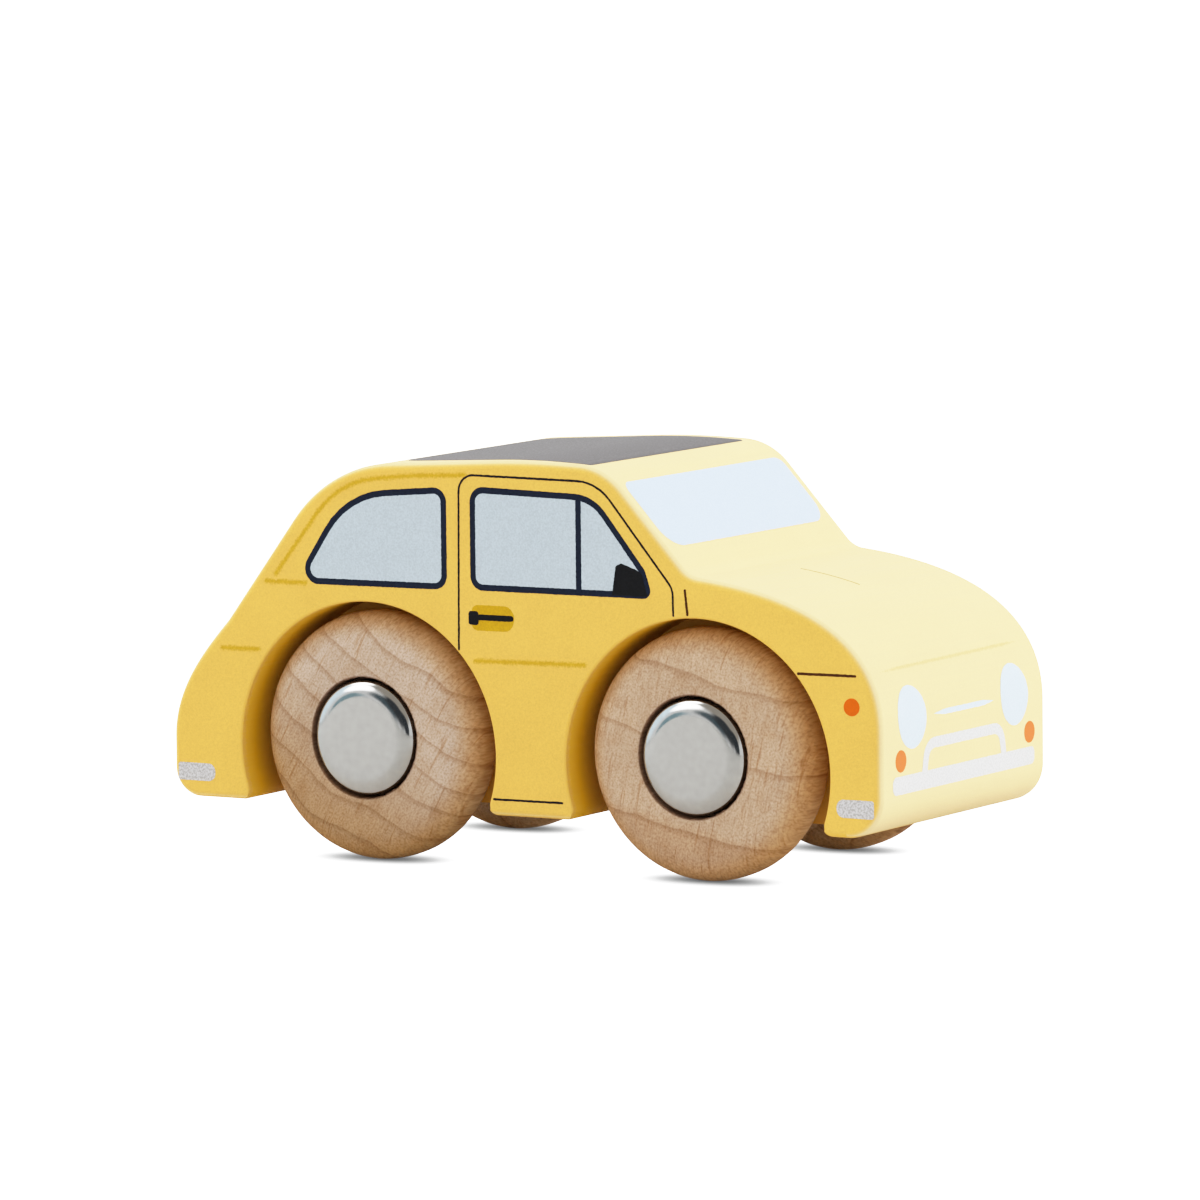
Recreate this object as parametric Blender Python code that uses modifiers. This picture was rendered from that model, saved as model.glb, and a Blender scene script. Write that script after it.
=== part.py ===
"""Wooden toy car: a block sawn in profile, with four turned wheels on two steel axles.

Metres, +Z up, +X towards the nose, +Y towards the car's left side.
The origin lies on the ground under the middle of the car.
"""

import math

import bmesh
import bpy
from mathutils import Vector
from mathutils.geometry import interpolate_bezier

# Wheels, and the gaps round them in the pockets that they run in
WHEEL_DIAMETER = 0.0280
WHEEL_WIDTH = 0.0080
WHEEL_TREAD = 0.0008
WHEEL_INSET = 0.0006
GAP_AHEAD = 0.00334
GAP_BEHIND = 0.00186
GAP_ABOVE = 0.00134
POCKET_LIP_RADIUS = 0.0012

# Body block: the wood left round the wheel pockets
NOSE_WALL = 0.00636
SILL_LENGTH = 0.00905
TAIL_WALL = 0.00919
SPINE_WIDTH = 0.0191
FLOOR_HEIGHT = 0.0062
EDGE_RADIUS = 0.0008
NOSE_FOOT_RADIUS = 0.0044
TAIL_FOOT_RADIUS = 0.0033

# Bonnet and windscreen, measured back from the nose and up from the front pocket
BONNET_LENGTH = 0.0239
BONNET_WALL = 0.0046
BONNET_SLOPE = math.radians(6.0)
BONNET_HANDLE = 0.0170
NOSE_FLAT_RISE = 0.0038
NOSE_HANDLE = 0.0086
SCUTTLE_RADIUS = 0.0032
SCREEN_RAKE = math.radians(47.6)
SCREEN_ROOF_RADIUS = 0.0080

# Roof, crowned behind the windscreen's foot and falling both ways
ROOF_RISE = 0.01186
ROOF_CROWN_SETBACK = 0.0206
ROOF_CROWN_RADIUS = 0.1050
ROOF_FALL_FRONT = math.radians(2.0)
ROOF_FALL_BACK = math.radians(3.1)
BACK_ROOF_RADIUS = 0.0170

# Sloping back and tail, measured forward from the tail and up from the axle
TAIL_LENGTH = 0.0073
BACK_FOOT_RISE = 0.0125
BACK_RAKE = math.radians(52.9)
TAIL_RAKE = math.radians(47.0)
TAIL_HANDLE = 0.0050
TAIL_FLAT_DROP = 0.0010
TAIL_FLAT_HANDLE = 0.0055

# Axles and what is threaded on them
AXLE_DIAMETER = 0.0040
AXLE_CHAMFER = 0.0004
WASHER_DIAMETER = 0.0090
WASHER_THICKNESS = 0.0005
CAP_DIAMETER = 0.0127
CAP_HEIGHT = 0.0038
CAP_PROUD = 0.0007
CAP_ROUND = 0.0020
CAP_WALL = 0.0005
CAP_LIP = 0.0008
RING_THICKNESS = 0.0005
RING_BAND = 0.0015
RING_TEETH = 6
TOOTH_SHARE = 0.55

# Clearances
SEAT_GAP = 0.0003
AXLE_CLEARANCE = 0.0003
CAP_CLEARANCE = 0.0003
CUT_MARGIN = 0.0020

# Fineness of round stretches
EDGE_SEGMENTS = 3
CORNER_STEPS = 7
LONG_CURVE_STEPS = 14
LIP_STEPS = 4
LIP_RUNOUT = math.radians(18.0)
POCKET_STEPS = 40
WHEEL_STEPS = 48
WHEEL_ROUND_STEPS = 5
CAP_STEPS = 40
CAP_ROUND_STEPS = 5
AXLE_STEPS = 32
TOOTH_STEPS = 2
WELD_DISTANCE = 1e-6
FLAT_ANGLE = math.radians(0.06)
SHARP_ANGLE = math.radians(35.0)
RIM_ANGLE = math.radians(65.0)

# Heights and lengths that follow from the wheels and the wood round them
AXLE_HEIGHT = WHEEL_DIAMETER / 2
POCKET_RADIUS = (GAP_AHEAD + WHEEL_DIAMETER + GAP_BEHIND) / 2
POCKET_LEAD = (GAP_AHEAD - GAP_BEHIND) / 2
POCKET_HEIGHT = AXLE_HEIGHT + WHEEL_DIAMETER / 2 + GAP_ABOVE - POCKET_RADIUS
SCUTTLE_HEIGHT = POCKET_HEIGHT + POCKET_RADIUS + BONNET_WALL
ROOF_HEIGHT = SCUTTLE_HEIGHT + ROOF_RISE
NOSE = (NOSE_WALL + SILL_LENGTH + TAIL_WALL) / 2 + 2 * POCKET_RADIUS
TAIL = -NOSE
AXLES = {
    "front": NOSE - NOSE_WALL - POCKET_RADIUS - POCKET_LEAD,
    "rear": TAIL + TAIL_WALL + POCKET_RADIUS - POCKET_LEAD,
}
SIDES = {"left": 1, "right": -1}

# Stations along an axle, out from the middle of the car
POCKET_FLOOR = SPINE_WIDTH / 2
WASHER_BACK = POCKET_FLOOR + SEAT_GAP
WHEEL_BACK = WASHER_BACK + WASHER_THICKNESS + SEAT_GAP
WHEEL_FACE = WHEEL_BACK + WHEEL_WIDTH
BODY_SIDE = WHEEL_FACE + WHEEL_INSET
COUNTERBORE_DEPTH = CAP_HEIGHT - CAP_PROUD + SEAT_GAP
CAP_FOOT = WHEEL_FACE - COUNTERBORE_DEPTH + SEAT_GAP
RING_FOOT = CAP_FOOT + CAP_WALL + SEAT_GAP
AXLE_END = CAP_FOOT + CAP_HEIGHT - CAP_WALL - SEAT_GAP

# Radii that follow from their neighbours
BORE_RADIUS = AXLE_DIAMETER / 2 + AXLE_CLEARANCE
CAP_BORE_RADIUS = CAP_DIAMETER / 2 - CAP_WALL
COUNTERBORE_RADIUS = CAP_DIAMETER / 2 + CAP_CLEARANCE
WHEEL_ROUND = min(WHEEL_WIDTH - WHEEL_TREAD, WHEEL_DIAMETER - 2 * COUNTERBORE_RADIUS) / 2


def clear_scene():
    """Removes every object, so that only the car is left."""
    for obj in list(bpy.data.objects):
        bpy.data.objects.remove(obj)


def new_collection(name):
    """A collection of its own in the scene."""
    collection = bpy.data.collections.new(name)
    bpy.context.scene.collection.children.link(collection)
    return collection


def new_material(name, colour, roughness, metallic=0.0):
    """A Principled material of one colour."""
    material = bpy.data.materials.new(name)
    material.use_nodes = True
    shader = material.node_tree.nodes["Principled BSDF"]
    shader.inputs["Base Color"].default_value = (*colour, 1.0)
    shader.inputs["Roughness"].default_value = roughness
    shader.inputs["Metallic"].default_value = metallic
    return material


# Flat outlines

def heading(angle):
    """The unit direction at this angle from the first axis."""
    return Vector((math.cos(angle), math.sin(angle)))


def arc(centre, radius, start, end, steps):
    """Points along an arc, both ends included."""
    turn = (end - start) / steps
    return [centre + radius * heading(start + turn * step) for step in range(steps + 1)]


def meet(point, direction, other_point, other_direction):
    """Where two straight lines cross."""
    reach = (other_point - point).cross(other_direction) / direction.cross(other_direction)
    return point + direction * reach


def rounded_corner(before, corner, after, radius):
    """Points of the arc that rounds a corner, kept within half of each straight run beside it."""
    back = (before - corner).normalized()
    on = (after - corner).normalized()
    half_angle = back.angle(on) / 2
    room = min((before - corner).length, (after - corner).length) / 2
    run = min(radius / math.tan(half_angle), room)
    fitted = run * math.tan(half_angle)
    centre = corner + (back + on).normalized() * fitted / math.sin(half_angle)
    start = corner + back * run - centre
    turn = math.copysign(math.pi - 2 * half_angle, on.cross(back))
    first = math.atan2(start.y, start.x)
    return arc(centre, fitted, first, first + turn, CORNER_STEPS)


def smooth_curve(start, start_handle, end_handle, end):
    """Points of a curve that leaves and arrives along its two handles."""
    return interpolate_bezier(start, start_handle, end_handle, end, LONG_CURVE_STEPS + 1)


def body_outline():
    """The car's side view, as length and height, counter-clockwise from the tail's foot."""
    up = Vector((0.0, 1.0))
    tail_foot = Vector((TAIL, FLOOR_HEIGHT))
    nose_foot = Vector((NOSE, FLOOR_HEIGHT))
    nose_top = Vector((NOSE, AXLE_HEIGHT + NOSE_FLAT_RISE))
    scuttle = Vector((NOSE - BONNET_LENGTH, SCUTTLE_HEIGHT))
    back_foot = Vector((TAIL + TAIL_LENGTH, AXLE_HEIGHT + BACK_FOOT_RISE))
    tail_top = Vector((TAIL, AXLE_HEIGHT - TAIL_FLAT_DROP))

    half_turn = (ROOF_FALL_FRONT + ROOF_FALL_BACK) / 2
    tilt = (ROOF_FALL_BACK - ROOF_FALL_FRONT) / 2
    crown_rise = ROOF_CROWN_RADIUS * (math.cos(tilt) / math.cos(half_turn) - 1)
    crown = Vector((scuttle.x - ROOF_CROWN_SETBACK, ROOF_HEIGHT + crown_rise))
    screen_top = meet(scuttle, heading(math.pi - SCREEN_RAKE), crown, heading(-ROOF_FALL_FRONT))
    back_top = meet(crown, heading(math.pi + ROOF_FALL_BACK), back_foot, heading(BACK_RAKE))
    bonnet_handle = scuttle + heading(-BONNET_SLOPE) * BONNET_HANDLE
    valley = rounded_corner(bonnet_handle, scuttle, screen_top, SCUTTLE_RADIUS)

    points = rounded_corner(tail_top, tail_foot, nose_foot, TAIL_FOOT_RADIUS)
    points += rounded_corner(tail_foot, nose_foot, nose_top, NOSE_FOOT_RADIUS)
    points += smooth_curve(nose_top, nose_top + up * NOSE_HANDLE, bonnet_handle, valley[0])
    points += valley
    points += rounded_corner(scuttle, screen_top, crown, SCREEN_ROOF_RADIUS)
    points += rounded_corner(screen_top, crown, back_top, ROOF_CROWN_RADIUS)
    points += rounded_corner(crown, back_top, back_foot, BACK_ROOF_RADIUS)
    points += smooth_curve(
        back_foot,
        back_foot + heading(math.pi + TAIL_RAKE) * TAIL_HANDLE,
        tail_top + up * TAIL_FLAT_HANDLE,
        tail_top,
    )
    return points


def pocket_outline():
    """A wheel pocket's opening about its own centre, with a rounded lip where it leaves the underside."""
    floor = FLOOR_HEIGHT - POCKET_HEIGHT
    lip_height = floor + POCKET_LIP_RADIUS
    reach = POCKET_RADIUS + POCKET_LIP_RADIUS
    lip = Vector((math.sqrt(reach ** 2 - lip_height ** 2), lip_height))
    touch = math.atan2(lip.y, lip.x)
    runout = arc(lip, POCKET_LIP_RADIUS, touch + math.pi, 1.5 * math.pi - LIP_RUNOUT, LIP_STEPS)
    below = floor - CUT_MARGIN
    outlet = meet(runout[-1], heading(-LIP_RUNOUT), Vector((0.0, below)), heading(0.0))
    right = [outlet] + runout[:0:-1]
    left = [Vector((-point.x, point.y)) for point in reversed(right)]
    return right + arc(Vector((0.0, 0.0)), POCKET_RADIUS, touch, math.pi - touch, POCKET_STEPS) + left


def ring_outlines():
    """A retaining ring's rim and its toothed hole."""
    centre = Vector((0.0, 0.0))
    rim_radius = CAP_BORE_RADIUS - SEAT_GAP
    pitch = 2 * math.pi / RING_TEETH
    rim = arc(centre, rim_radius, 0.0, 2 * math.pi, AXLE_STEPS)[:-1]
    hole = []
    for tooth in range(RING_TEETH):
        first = tooth * pitch
        tip_end = first + pitch * TOOTH_SHARE
        hole += arc(centre, BORE_RADIUS, first, tip_end, TOOTH_STEPS)
        hole += arc(centre, rim_radius - RING_BAND, tip_end, first + pitch, TOOTH_STEPS)
    return [rim, hole]


# Solids from outlines and turned profiles

def welded_mesh(source, name, join_flats=False):
    """A closed mesh of an evaluated helper object, which is then removed."""
    graph = bpy.context.evaluated_depsgraph_get()
    mesh = bpy.data.meshes.new_from_object(source.evaluated_get(graph))
    mesh.name = name
    work = bmesh.new()
    work.from_mesh(mesh)
    bmesh.ops.remove_doubles(work, verts=work.verts, dist=WELD_DISTANCE)
    bmesh.ops.recalc_face_normals(work, faces=work.faces)
    if join_flats:
        bmesh.ops.dissolve_limit(work, angle_limit=FLAT_ANGLE, verts=work.verts, edges=work.edges)
    work.to_mesh(mesh)
    work.free()
    mesh.shade_smooth()
    mesh.set_sharp_from_angle(angle=SHARP_ANGLE)
    bpy.data.objects.remove(source)
    return mesh


def slab(name, outlines, thickness):
    """A flat piece of an outline, and of holes in it, half its thickness to each side of its plane."""
    curve = bpy.data.curves.new(name, "CURVE")
    curve.dimensions = "2D"
    curve.fill_mode = "BOTH"
    curve.extrude = thickness / 2
    for outline in outlines:
        spline = curve.splines.new("POLY")
        spline.points.add(len(outline) - 1)
        for place, point in zip(spline.points, outline):
            place.co = (point.x, point.y, 0.0, 1.0)
        spline.use_cyclic_u = True
    helper = bpy.data.objects.new(name, curve)
    bpy.context.scene.collection.objects.link(helper)
    return welded_mesh(helper, name, join_flats=len(outlines) == 1)


def turned(name, profile, steps, closed):
    """A round piece about its own Z axis, from a profile that runs down its outer side."""
    work = bmesh.new()
    corners = [work.verts.new((point.x, 0.0, point.y)) for point in profile]
    following = corners[1:] + corners[:1] if closed else corners[1:]
    for start, end in zip(corners, following):
        work.edges.new((start, end))
    mesh = bpy.data.meshes.new(name)
    work.to_mesh(mesh)
    work.free()
    helper = bpy.data.objects.new(name, mesh)
    bpy.context.scene.collection.objects.link(helper)
    screw = helper.modifiers.new("Turn", "SCREW")
    screw.axis = "Z"
    screw.steps = steps
    screw.render_steps = steps
    screw.use_merge_vertices = True
    screw.merge_threshold = WELD_DISTANCE
    return welded_mesh(helper, name)


def add_object(name, mesh, collection, material=None, parent=None):
    """A named object of this mesh, placed on its parent."""
    obj = bpy.data.objects.new(name, mesh)
    collection.objects.link(obj)
    obj.parent = parent
    if material and not mesh.materials:
        mesh.materials.append(material)
    return obj


def add_cutter(name, mesh, collection):
    """An object that only cuts others."""
    cutter = add_object(name, mesh, collection)
    cutter.hide_render = True
    cutter.display_type = "WIRE"
    return cutter


def add_empty(name, collection, parent=None):
    """A point that carries other pieces."""
    empty = bpy.data.objects.new(name, None)
    empty.empty_display_size = AXLE_HEIGHT
    collection.objects.link(empty)
    empty.parent = parent
    return empty


# Pieces

def wheel_mesh():
    """A turned wheel: flat outer face with a counterbore, well rounded rim, plain bore."""
    radius = WHEEL_DIAMETER / 2
    seat = WHEEL_WIDTH - COUNTERBORE_DEPTH
    outer_centre = Vector((radius - WHEEL_ROUND, WHEEL_WIDTH - WHEEL_ROUND))
    inner_centre = Vector((radius - WHEEL_ROUND, WHEEL_ROUND))
    profile = [Vector((COUNTERBORE_RADIUS, WHEEL_WIDTH))]
    profile += arc(outer_centre, WHEEL_ROUND, math.pi / 2, 0.0, WHEEL_ROUND_STEPS)
    profile += arc(inner_centre, WHEEL_ROUND, 0.0, -math.pi / 2, WHEEL_ROUND_STEPS)
    profile += [Vector((BORE_RADIUS, 0.0)), Vector((BORE_RADIUS, seat)), Vector((COUNTERBORE_RADIUS, seat))]
    return turned("wheel", profile, WHEEL_STEPS, closed=True)


def cap_mesh():
    """A drawn cap: flat face, rounded shoulder, straight skirt and a lip turned in at its foot."""
    radius = CAP_DIAMETER / 2
    shoulder = Vector((radius - CAP_ROUND, CAP_HEIGHT - CAP_ROUND))
    lip_radius = CAP_BORE_RADIUS - CAP_LIP
    profile = [Vector((0.0, CAP_HEIGHT))]
    profile += arc(shoulder, CAP_ROUND, math.pi / 2, 0.0, CAP_ROUND_STEPS)
    profile += [Vector((radius, 0.0)), Vector((lip_radius, 0.0))]
    profile += [Vector((lip_radius, CAP_WALL)), Vector((CAP_BORE_RADIUS, CAP_WALL))]
    profile += arc(shoulder, CAP_ROUND - CAP_WALL, 0.0, math.pi / 2, CAP_ROUND_STEPS)
    profile.append(Vector((0.0, CAP_HEIGHT - CAP_WALL)))
    return turned("hub_cap", profile, CAP_STEPS, closed=False)


def washer_mesh():
    """A plain flat washer."""
    outer = WASHER_DIAMETER / 2
    profile = [Vector((outer, WASHER_THICKNESS)), Vector((outer, 0.0))]
    profile += [Vector((BORE_RADIUS, 0.0)), Vector((BORE_RADIUS, WASHER_THICKNESS))]
    return turned("spacer_washer", profile, AXLE_STEPS, closed=True)


def ring_mesh():
    """A flat toothed ring."""
    return slab("retaining_ring", ring_outlines(), RING_THICKNESS)


def axle_mesh():
    """A plain rod with chamfered ends."""
    radius = AXLE_DIAMETER / 2
    upper = [Vector((0.0, AXLE_END)), Vector((radius - AXLE_CHAMFER, AXLE_END))]
    upper.append(Vector((radius, AXLE_END - AXLE_CHAMFER)))
    lower = [Vector((point.x, -point.y)) for point in reversed(upper)]
    return turned("axle", upper + lower, AXLE_STEPS, closed=False)


def bore_mesh():
    """The cutter of an axle's bore, from pocket to pocket."""
    end = POCKET_FLOOR + CUT_MARGIN
    corners = ((0.0, end), (BORE_RADIUS, end), (BORE_RADIUS, -end), (0.0, -end))
    return turned("bore", [Vector(corner) for corner in corners], AXLE_STEPS, closed=False)


def cut(obj, cutter):
    """Takes the cutter's shape out of an object."""
    boolean = obj.modifiers.new(cutter.name, "BOOLEAN")
    boolean.operation = "DIFFERENCE"
    boolean.object = cutter


def build_body(parts, cutters, material):
    """The block with eased edges, its four wheel pockets and its two axle bores."""
    body = add_object("body", slab("body", [body_outline()], 2 * BODY_SIDE), parts, material)
    body.rotation_euler.x = math.pi / 2
    ease = body.modifiers.new("Eased edges", "BEVEL")
    ease.width = EDGE_RADIUS
    ease.segments = EDGE_SEGMENTS
    ease.limit_method = "ANGLE"
    ease.angle_limit = RIM_ANGLE
    ease.use_clamp_overlap = False

    depth = BODY_SIDE - POCKET_FLOOR + CUT_MARGIN
    pocket = slab("pocket", [pocket_outline()], depth)
    bore = bore_mesh()
    for end, place in AXLES.items():
        for side, sign in SIDES.items():
            cutter = add_cutter(f"cutter_pocket_{end}_{side}", pocket, cutters)
            cutter.rotation_euler.x = math.pi / 2
            middle = sign * (POCKET_FLOOR + depth / 2)
            cutter.location = (place + POCKET_LEAD, middle, POCKET_HEIGHT)
            cut(body, cutter)
        cutter = add_cutter(f"cutter_bore_{end}", bore, cutters)
        cutter.rotation_euler.x = math.pi / 2
        cutter.location = (place, 0.0, AXLE_HEIGHT)
        cut(body, cutter)


def build_running_gear(parts, materials):
    """Both axles with their wheels, caps, rings and washers, carried by an empty on each axle's line."""
    axle = axle_mesh()
    stations = {
        "wheel": (wheel_mesh(), WHEEL_BACK),
        "hub_cap": (cap_mesh(), CAP_FOOT),
        "retaining_ring": (ring_mesh(), RING_FOOT + RING_THICKNESS / 2),
        "spacer_washer": (washer_mesh(), WASHER_BACK),
    }
    for end, place in AXLES.items():
        centre = add_empty(f"{end}_axle_line", parts)
        centre.location = (place, 0.0, AXLE_HEIGHT)
        rod = add_object(f"{end}_axle", axle, parts, materials["axle"], centre)
        rod.rotation_euler.x = -math.pi / 2
        for side, sign in SIDES.items():
            hub = add_empty(f"{end}_{side}_hub", parts, centre)
            hub.rotation_euler.x = -sign * math.pi / 2
            for piece, (mesh, station) in stations.items():
                obj = add_object(f"{piece}_{end}_{side}", mesh, parts, materials[piece], hub)
                obj.location.z = station


def main():
    """Builds the whole car."""
    clear_scene()
    parts = new_collection("wooden_toy_car")
    cutters = new_collection("cutters")
    materials = {
        "body": new_material("painted_wood", (0.83, 0.60, 0.14), 0.55),
        "wheel": new_material("turned_beech", (0.58, 0.36, 0.20), 0.60),
        "hub_cap": new_material("bright_steel", (0.80, 0.80, 0.79), 0.18, 1.0),
        "retaining_ring": new_material("spring_steel", (0.35, 0.35, 0.36), 0.35, 1.0),
        "spacer_washer": new_material("pale_nylon", (0.80, 0.78, 0.72), 0.50),
        "axle": new_material("drawn_steel", (0.60, 0.60, 0.60), 0.30, 1.0),
    }
    build_body(parts, cutters, materials["body"])
    build_running_gear(parts, materials)


main()
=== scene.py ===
"""Looks of a wooden toy car: a painted and printed block on turned beech wheels with bright push-on caps.

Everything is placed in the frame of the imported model, in metres, with +X towards the nose, +Y towards the
car's left side and +Z up. Sizes and flat outlines in the classes are in millimetres.
"""

import logging
import math
from abc import ABC, abstractmethod
from bisect import bisect_right
from collections.abc import Callable, Iterator, Sequence
from contextlib import contextmanager
from dataclasses import dataclass, field
from enum import Enum
from functools import cache

import bmesh
import bpy
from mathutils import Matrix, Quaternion, Vector, noise
from mathutils.geometry import interpolate_bezier


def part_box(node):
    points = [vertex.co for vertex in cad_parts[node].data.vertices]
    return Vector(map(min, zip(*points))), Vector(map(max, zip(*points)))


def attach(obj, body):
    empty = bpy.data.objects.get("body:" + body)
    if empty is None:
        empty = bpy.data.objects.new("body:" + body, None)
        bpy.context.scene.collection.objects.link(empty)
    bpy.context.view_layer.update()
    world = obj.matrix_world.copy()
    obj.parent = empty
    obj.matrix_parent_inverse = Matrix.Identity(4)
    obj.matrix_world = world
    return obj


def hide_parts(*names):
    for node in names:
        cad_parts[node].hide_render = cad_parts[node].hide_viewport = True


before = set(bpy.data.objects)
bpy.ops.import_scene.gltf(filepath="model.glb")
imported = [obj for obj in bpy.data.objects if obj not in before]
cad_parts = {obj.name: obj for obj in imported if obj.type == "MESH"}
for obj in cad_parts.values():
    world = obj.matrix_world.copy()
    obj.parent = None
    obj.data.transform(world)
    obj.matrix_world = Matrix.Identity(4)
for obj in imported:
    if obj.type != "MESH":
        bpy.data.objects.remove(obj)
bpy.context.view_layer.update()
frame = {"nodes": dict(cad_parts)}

LOG = logging.getLogger("toy_car")
MM = 0.001
HAIR = 1e-4  # millimetres within which two places are one
NEAR = 1e-5  # metres within which a vertex lies where it is looked for
FACING = 0.9  # share of a normal from which a face looks along an axis
ARC_TURN = math.radians(9.0)
SHARP = math.radians(32.0)
SHARP_TURNED = math.radians(40.0)
CIRCLE_STEPS = 24
STROKE_END_STEPS = 6
INK_WAVES = ((1.1, 0.3), (3.7, 0.8), (7.3, 0.8))  # waves per millimetre of an ink edge, and their shares
Colour = tuple[float, float, float]
Points = Sequence[Vector]
Socket = bpy.types.NodeSocket
Test = Callable[[object], bool]


class Side(Enum):
    """The two sides of the car, with the sign of their Y."""

    LEFT = 1
    RIGHT = -1

    @property
    def word(self) -> str:
        """The side's name in piece names."""
        return self.name.lower()


class End(Enum):
    """The two axles of the car."""

    FRONT = "front"
    REAR = "rear"


class Layer(Enum):
    """How far the layers of print stand off the paint, in millimetres, lowest first."""

    SHADE = 0.008
    FADE = 0.011
    LINE = 0.014
    BACKING = 0.020
    INK = 0.026
    OVERPRINT = 0.032


class Pick(Enum):
    """What a selection in edit mode is made of."""

    EDGE = "edges"
    FACE = "faces"


# Flat drawing, in millimetres


@dataclass(frozen=True)
class Corner:
    """A corner of a flat outline or path, and the radius that rounds it."""

    x: float
    y: float
    radius: float = 0.0

    @property
    def place(self) -> Vector:
        """The corner before rounding."""
        return Vector((self.x, self.y))


Outline = tuple[Corner, ...]


def drawn(*places: tuple[float, ...]) -> Outline:
    """The corners of an outline or path at these places, each with the radius that rounds it, if any."""
    return tuple(Corner(*place) for place in places)


def panel(
    x: float, y: float, x_end: float, y_end: float, start: float = 0.0, end: float | None = None
) -> Outline:
    """An upright panel between two corners, with a radius at its start and another at its end."""
    last = start if end is None else end
    return drawn((x, y, start), (x_end, y, last), (x_end, y_end, last), (x, y_end, start))


def heading(angle: float) -> Vector:
    """The unit direction at this angle from the first axis."""
    return Vector((math.cos(angle), math.sin(angle)))


def arc(centre: Vector, radius: float, start: float, end: float, steps: int) -> list[Vector]:
    """Points along an arc, both ends included."""
    turn = (end - start) / steps
    return [centre + radius * heading(start + turn * step) for step in range(steps + 1)]


def meet(point: Vector, direction: Vector, other: Vector, other_direction: Vector) -> Vector:
    """Where two straight lines cross."""
    reach = (other - point).cross(other_direction) / direction.cross(other_direction)
    return point + direction * reach


def rounded_corner(
    before: Vector, corner: Vector, after: Vector, radius: float, turn: float = ARC_TURN
) -> list[Vector]:
    """Points of the arc that rounds a corner.

    Args:
        before: The corner before this one.
        corner: The corner to round.
        after: The corner after this one.
        radius: Radius of the rounding, which is kept within half of each straight run beside it.
        turn: Largest turn from one point to the next.

    Returns:
        The arc's points, or the corner itself where it has no radius.
    """
    if radius <= 0.0:
        return [corner]
    back = (before - corner).normalized()
    on = (after - corner).normalized()
    half_angle = back.angle(on) / 2
    room = min((before - corner).length, (after - corner).length) / 2
    run = min(radius / math.tan(half_angle), room)
    fitted = run * math.tan(half_angle)
    centre = corner + (back + on).normalized() * fitted / math.sin(half_angle)
    start = corner + back * run - centre
    sweep = math.copysign(math.pi - 2 * half_angle, on.cross(back))
    first = math.atan2(start.y, start.x)
    return arc(centre, fitted, first, first + sweep, max(2, math.ceil(abs(sweep) / turn)))


def closed_outline(corners: Sequence[Corner]) -> list[Vector]:
    """The points of a closed outline with rounded corners.

    Args:
        corners: The outline's corners.

    Returns:
        The points, the last not repeating the first.
    """
    places = [corner.place for corner in corners]
    points: list[Vector] = []
    for index, corner in enumerate(corners):
        after = places[(index + 1) % len(places)]
        points += rounded_corner(places[index - 1], places[index], after, corner.radius)
    return points


def open_path(corners: Sequence[Corner]) -> list[Vector]:
    """The points of a path with rounded corners between its two plain ends.

    Args:
        corners: The path's ends and the corners between them.

    Returns:
        The points from end to end.
    """
    points = [corners[0].place]
    for before, corner, after in zip(corners, corners[1:], corners[2:]):
        points += rounded_corner(before.place, corner.place, after.place, corner.radius)
    return [*points, corners[-1].place]


def inset_corners(corners: Sequence[Corner], distance: float, least: float = 0.15) -> list[Corner]:
    """A counter-clockwise outline moved inwards, with its roundings kept concentric.

    Args:
        corners: The outline's corners.
        distance: How far every side moves in.
        least: Smallest radius that a corner keeps.

    Returns:
        The corners of the smaller outline.
    """
    moved = []
    for index, corner in enumerate(corners):
        arriving = (corner.place - corners[index - 1].place).normalized()
        leaving = (corners[(index + 1) % len(corners)].place - corner.place).normalized()
        first = corner.place + Vector((-arriving.y, arriving.x)) * distance
        second = corner.place + Vector((-leaving.y, leaving.x)) * distance
        place = meet(first, arriving, second, leaving)
        moved.append(Corner(place.x, place.y, max(corner.radius - distance, least)))
    return moved


def circle(x: float, y: float, radius: float, stretch: float = 1.0) -> list[Vector]:
    """The points of a circle, or of an oval.

    Args:
        x: The middle along the first axis.
        y: The middle along the second axis.
        radius: The radius along the first axis.
        stretch: How many times larger the radius is along the second axis.

    Returns:
        The points, counter-clockwise.
    """
    steps = max(CIRCLE_STEPS, math.ceil(radius * CIRCLE_STEPS))
    ring = arc(Vector((0.0, 0.0)), radius, 0.0, math.tau, steps)[:-1]
    return [Vector((x + point.x, y + point.y * stretch)) for point in ring]


def stroke(path: Points, width: float) -> list[Vector]:
    """The outline of a line of this width drawn along a path, with round ends.

    Args:
        path: The line's middle, from end to end.
        width: The line's width.

    Returns:
        The closed outline, counter-clockwise.
    """
    half = width / 2
    right, left = [], []
    for index, point in enumerate(path):
        along = (path[min(index + 1, len(path) - 1)] - path[max(index - 1, 0)]).normalized()
        across = Vector((along.y, -along.x)) * half
        right.append(point + across)
        left.append(point - across)
    far = math.atan2(*(right[-1] - path[-1]).yx)
    near = math.atan2(*(left[0] - path[0]).yx)
    tip = arc(path[-1], half, far, far + math.pi, STROKE_END_STEPS)[1:-1]
    tail = arc(path[0], half, near, near + math.pi, STROKE_END_STEPS)[1:-1]
    return right + tip + left[::-1] + tail


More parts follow.
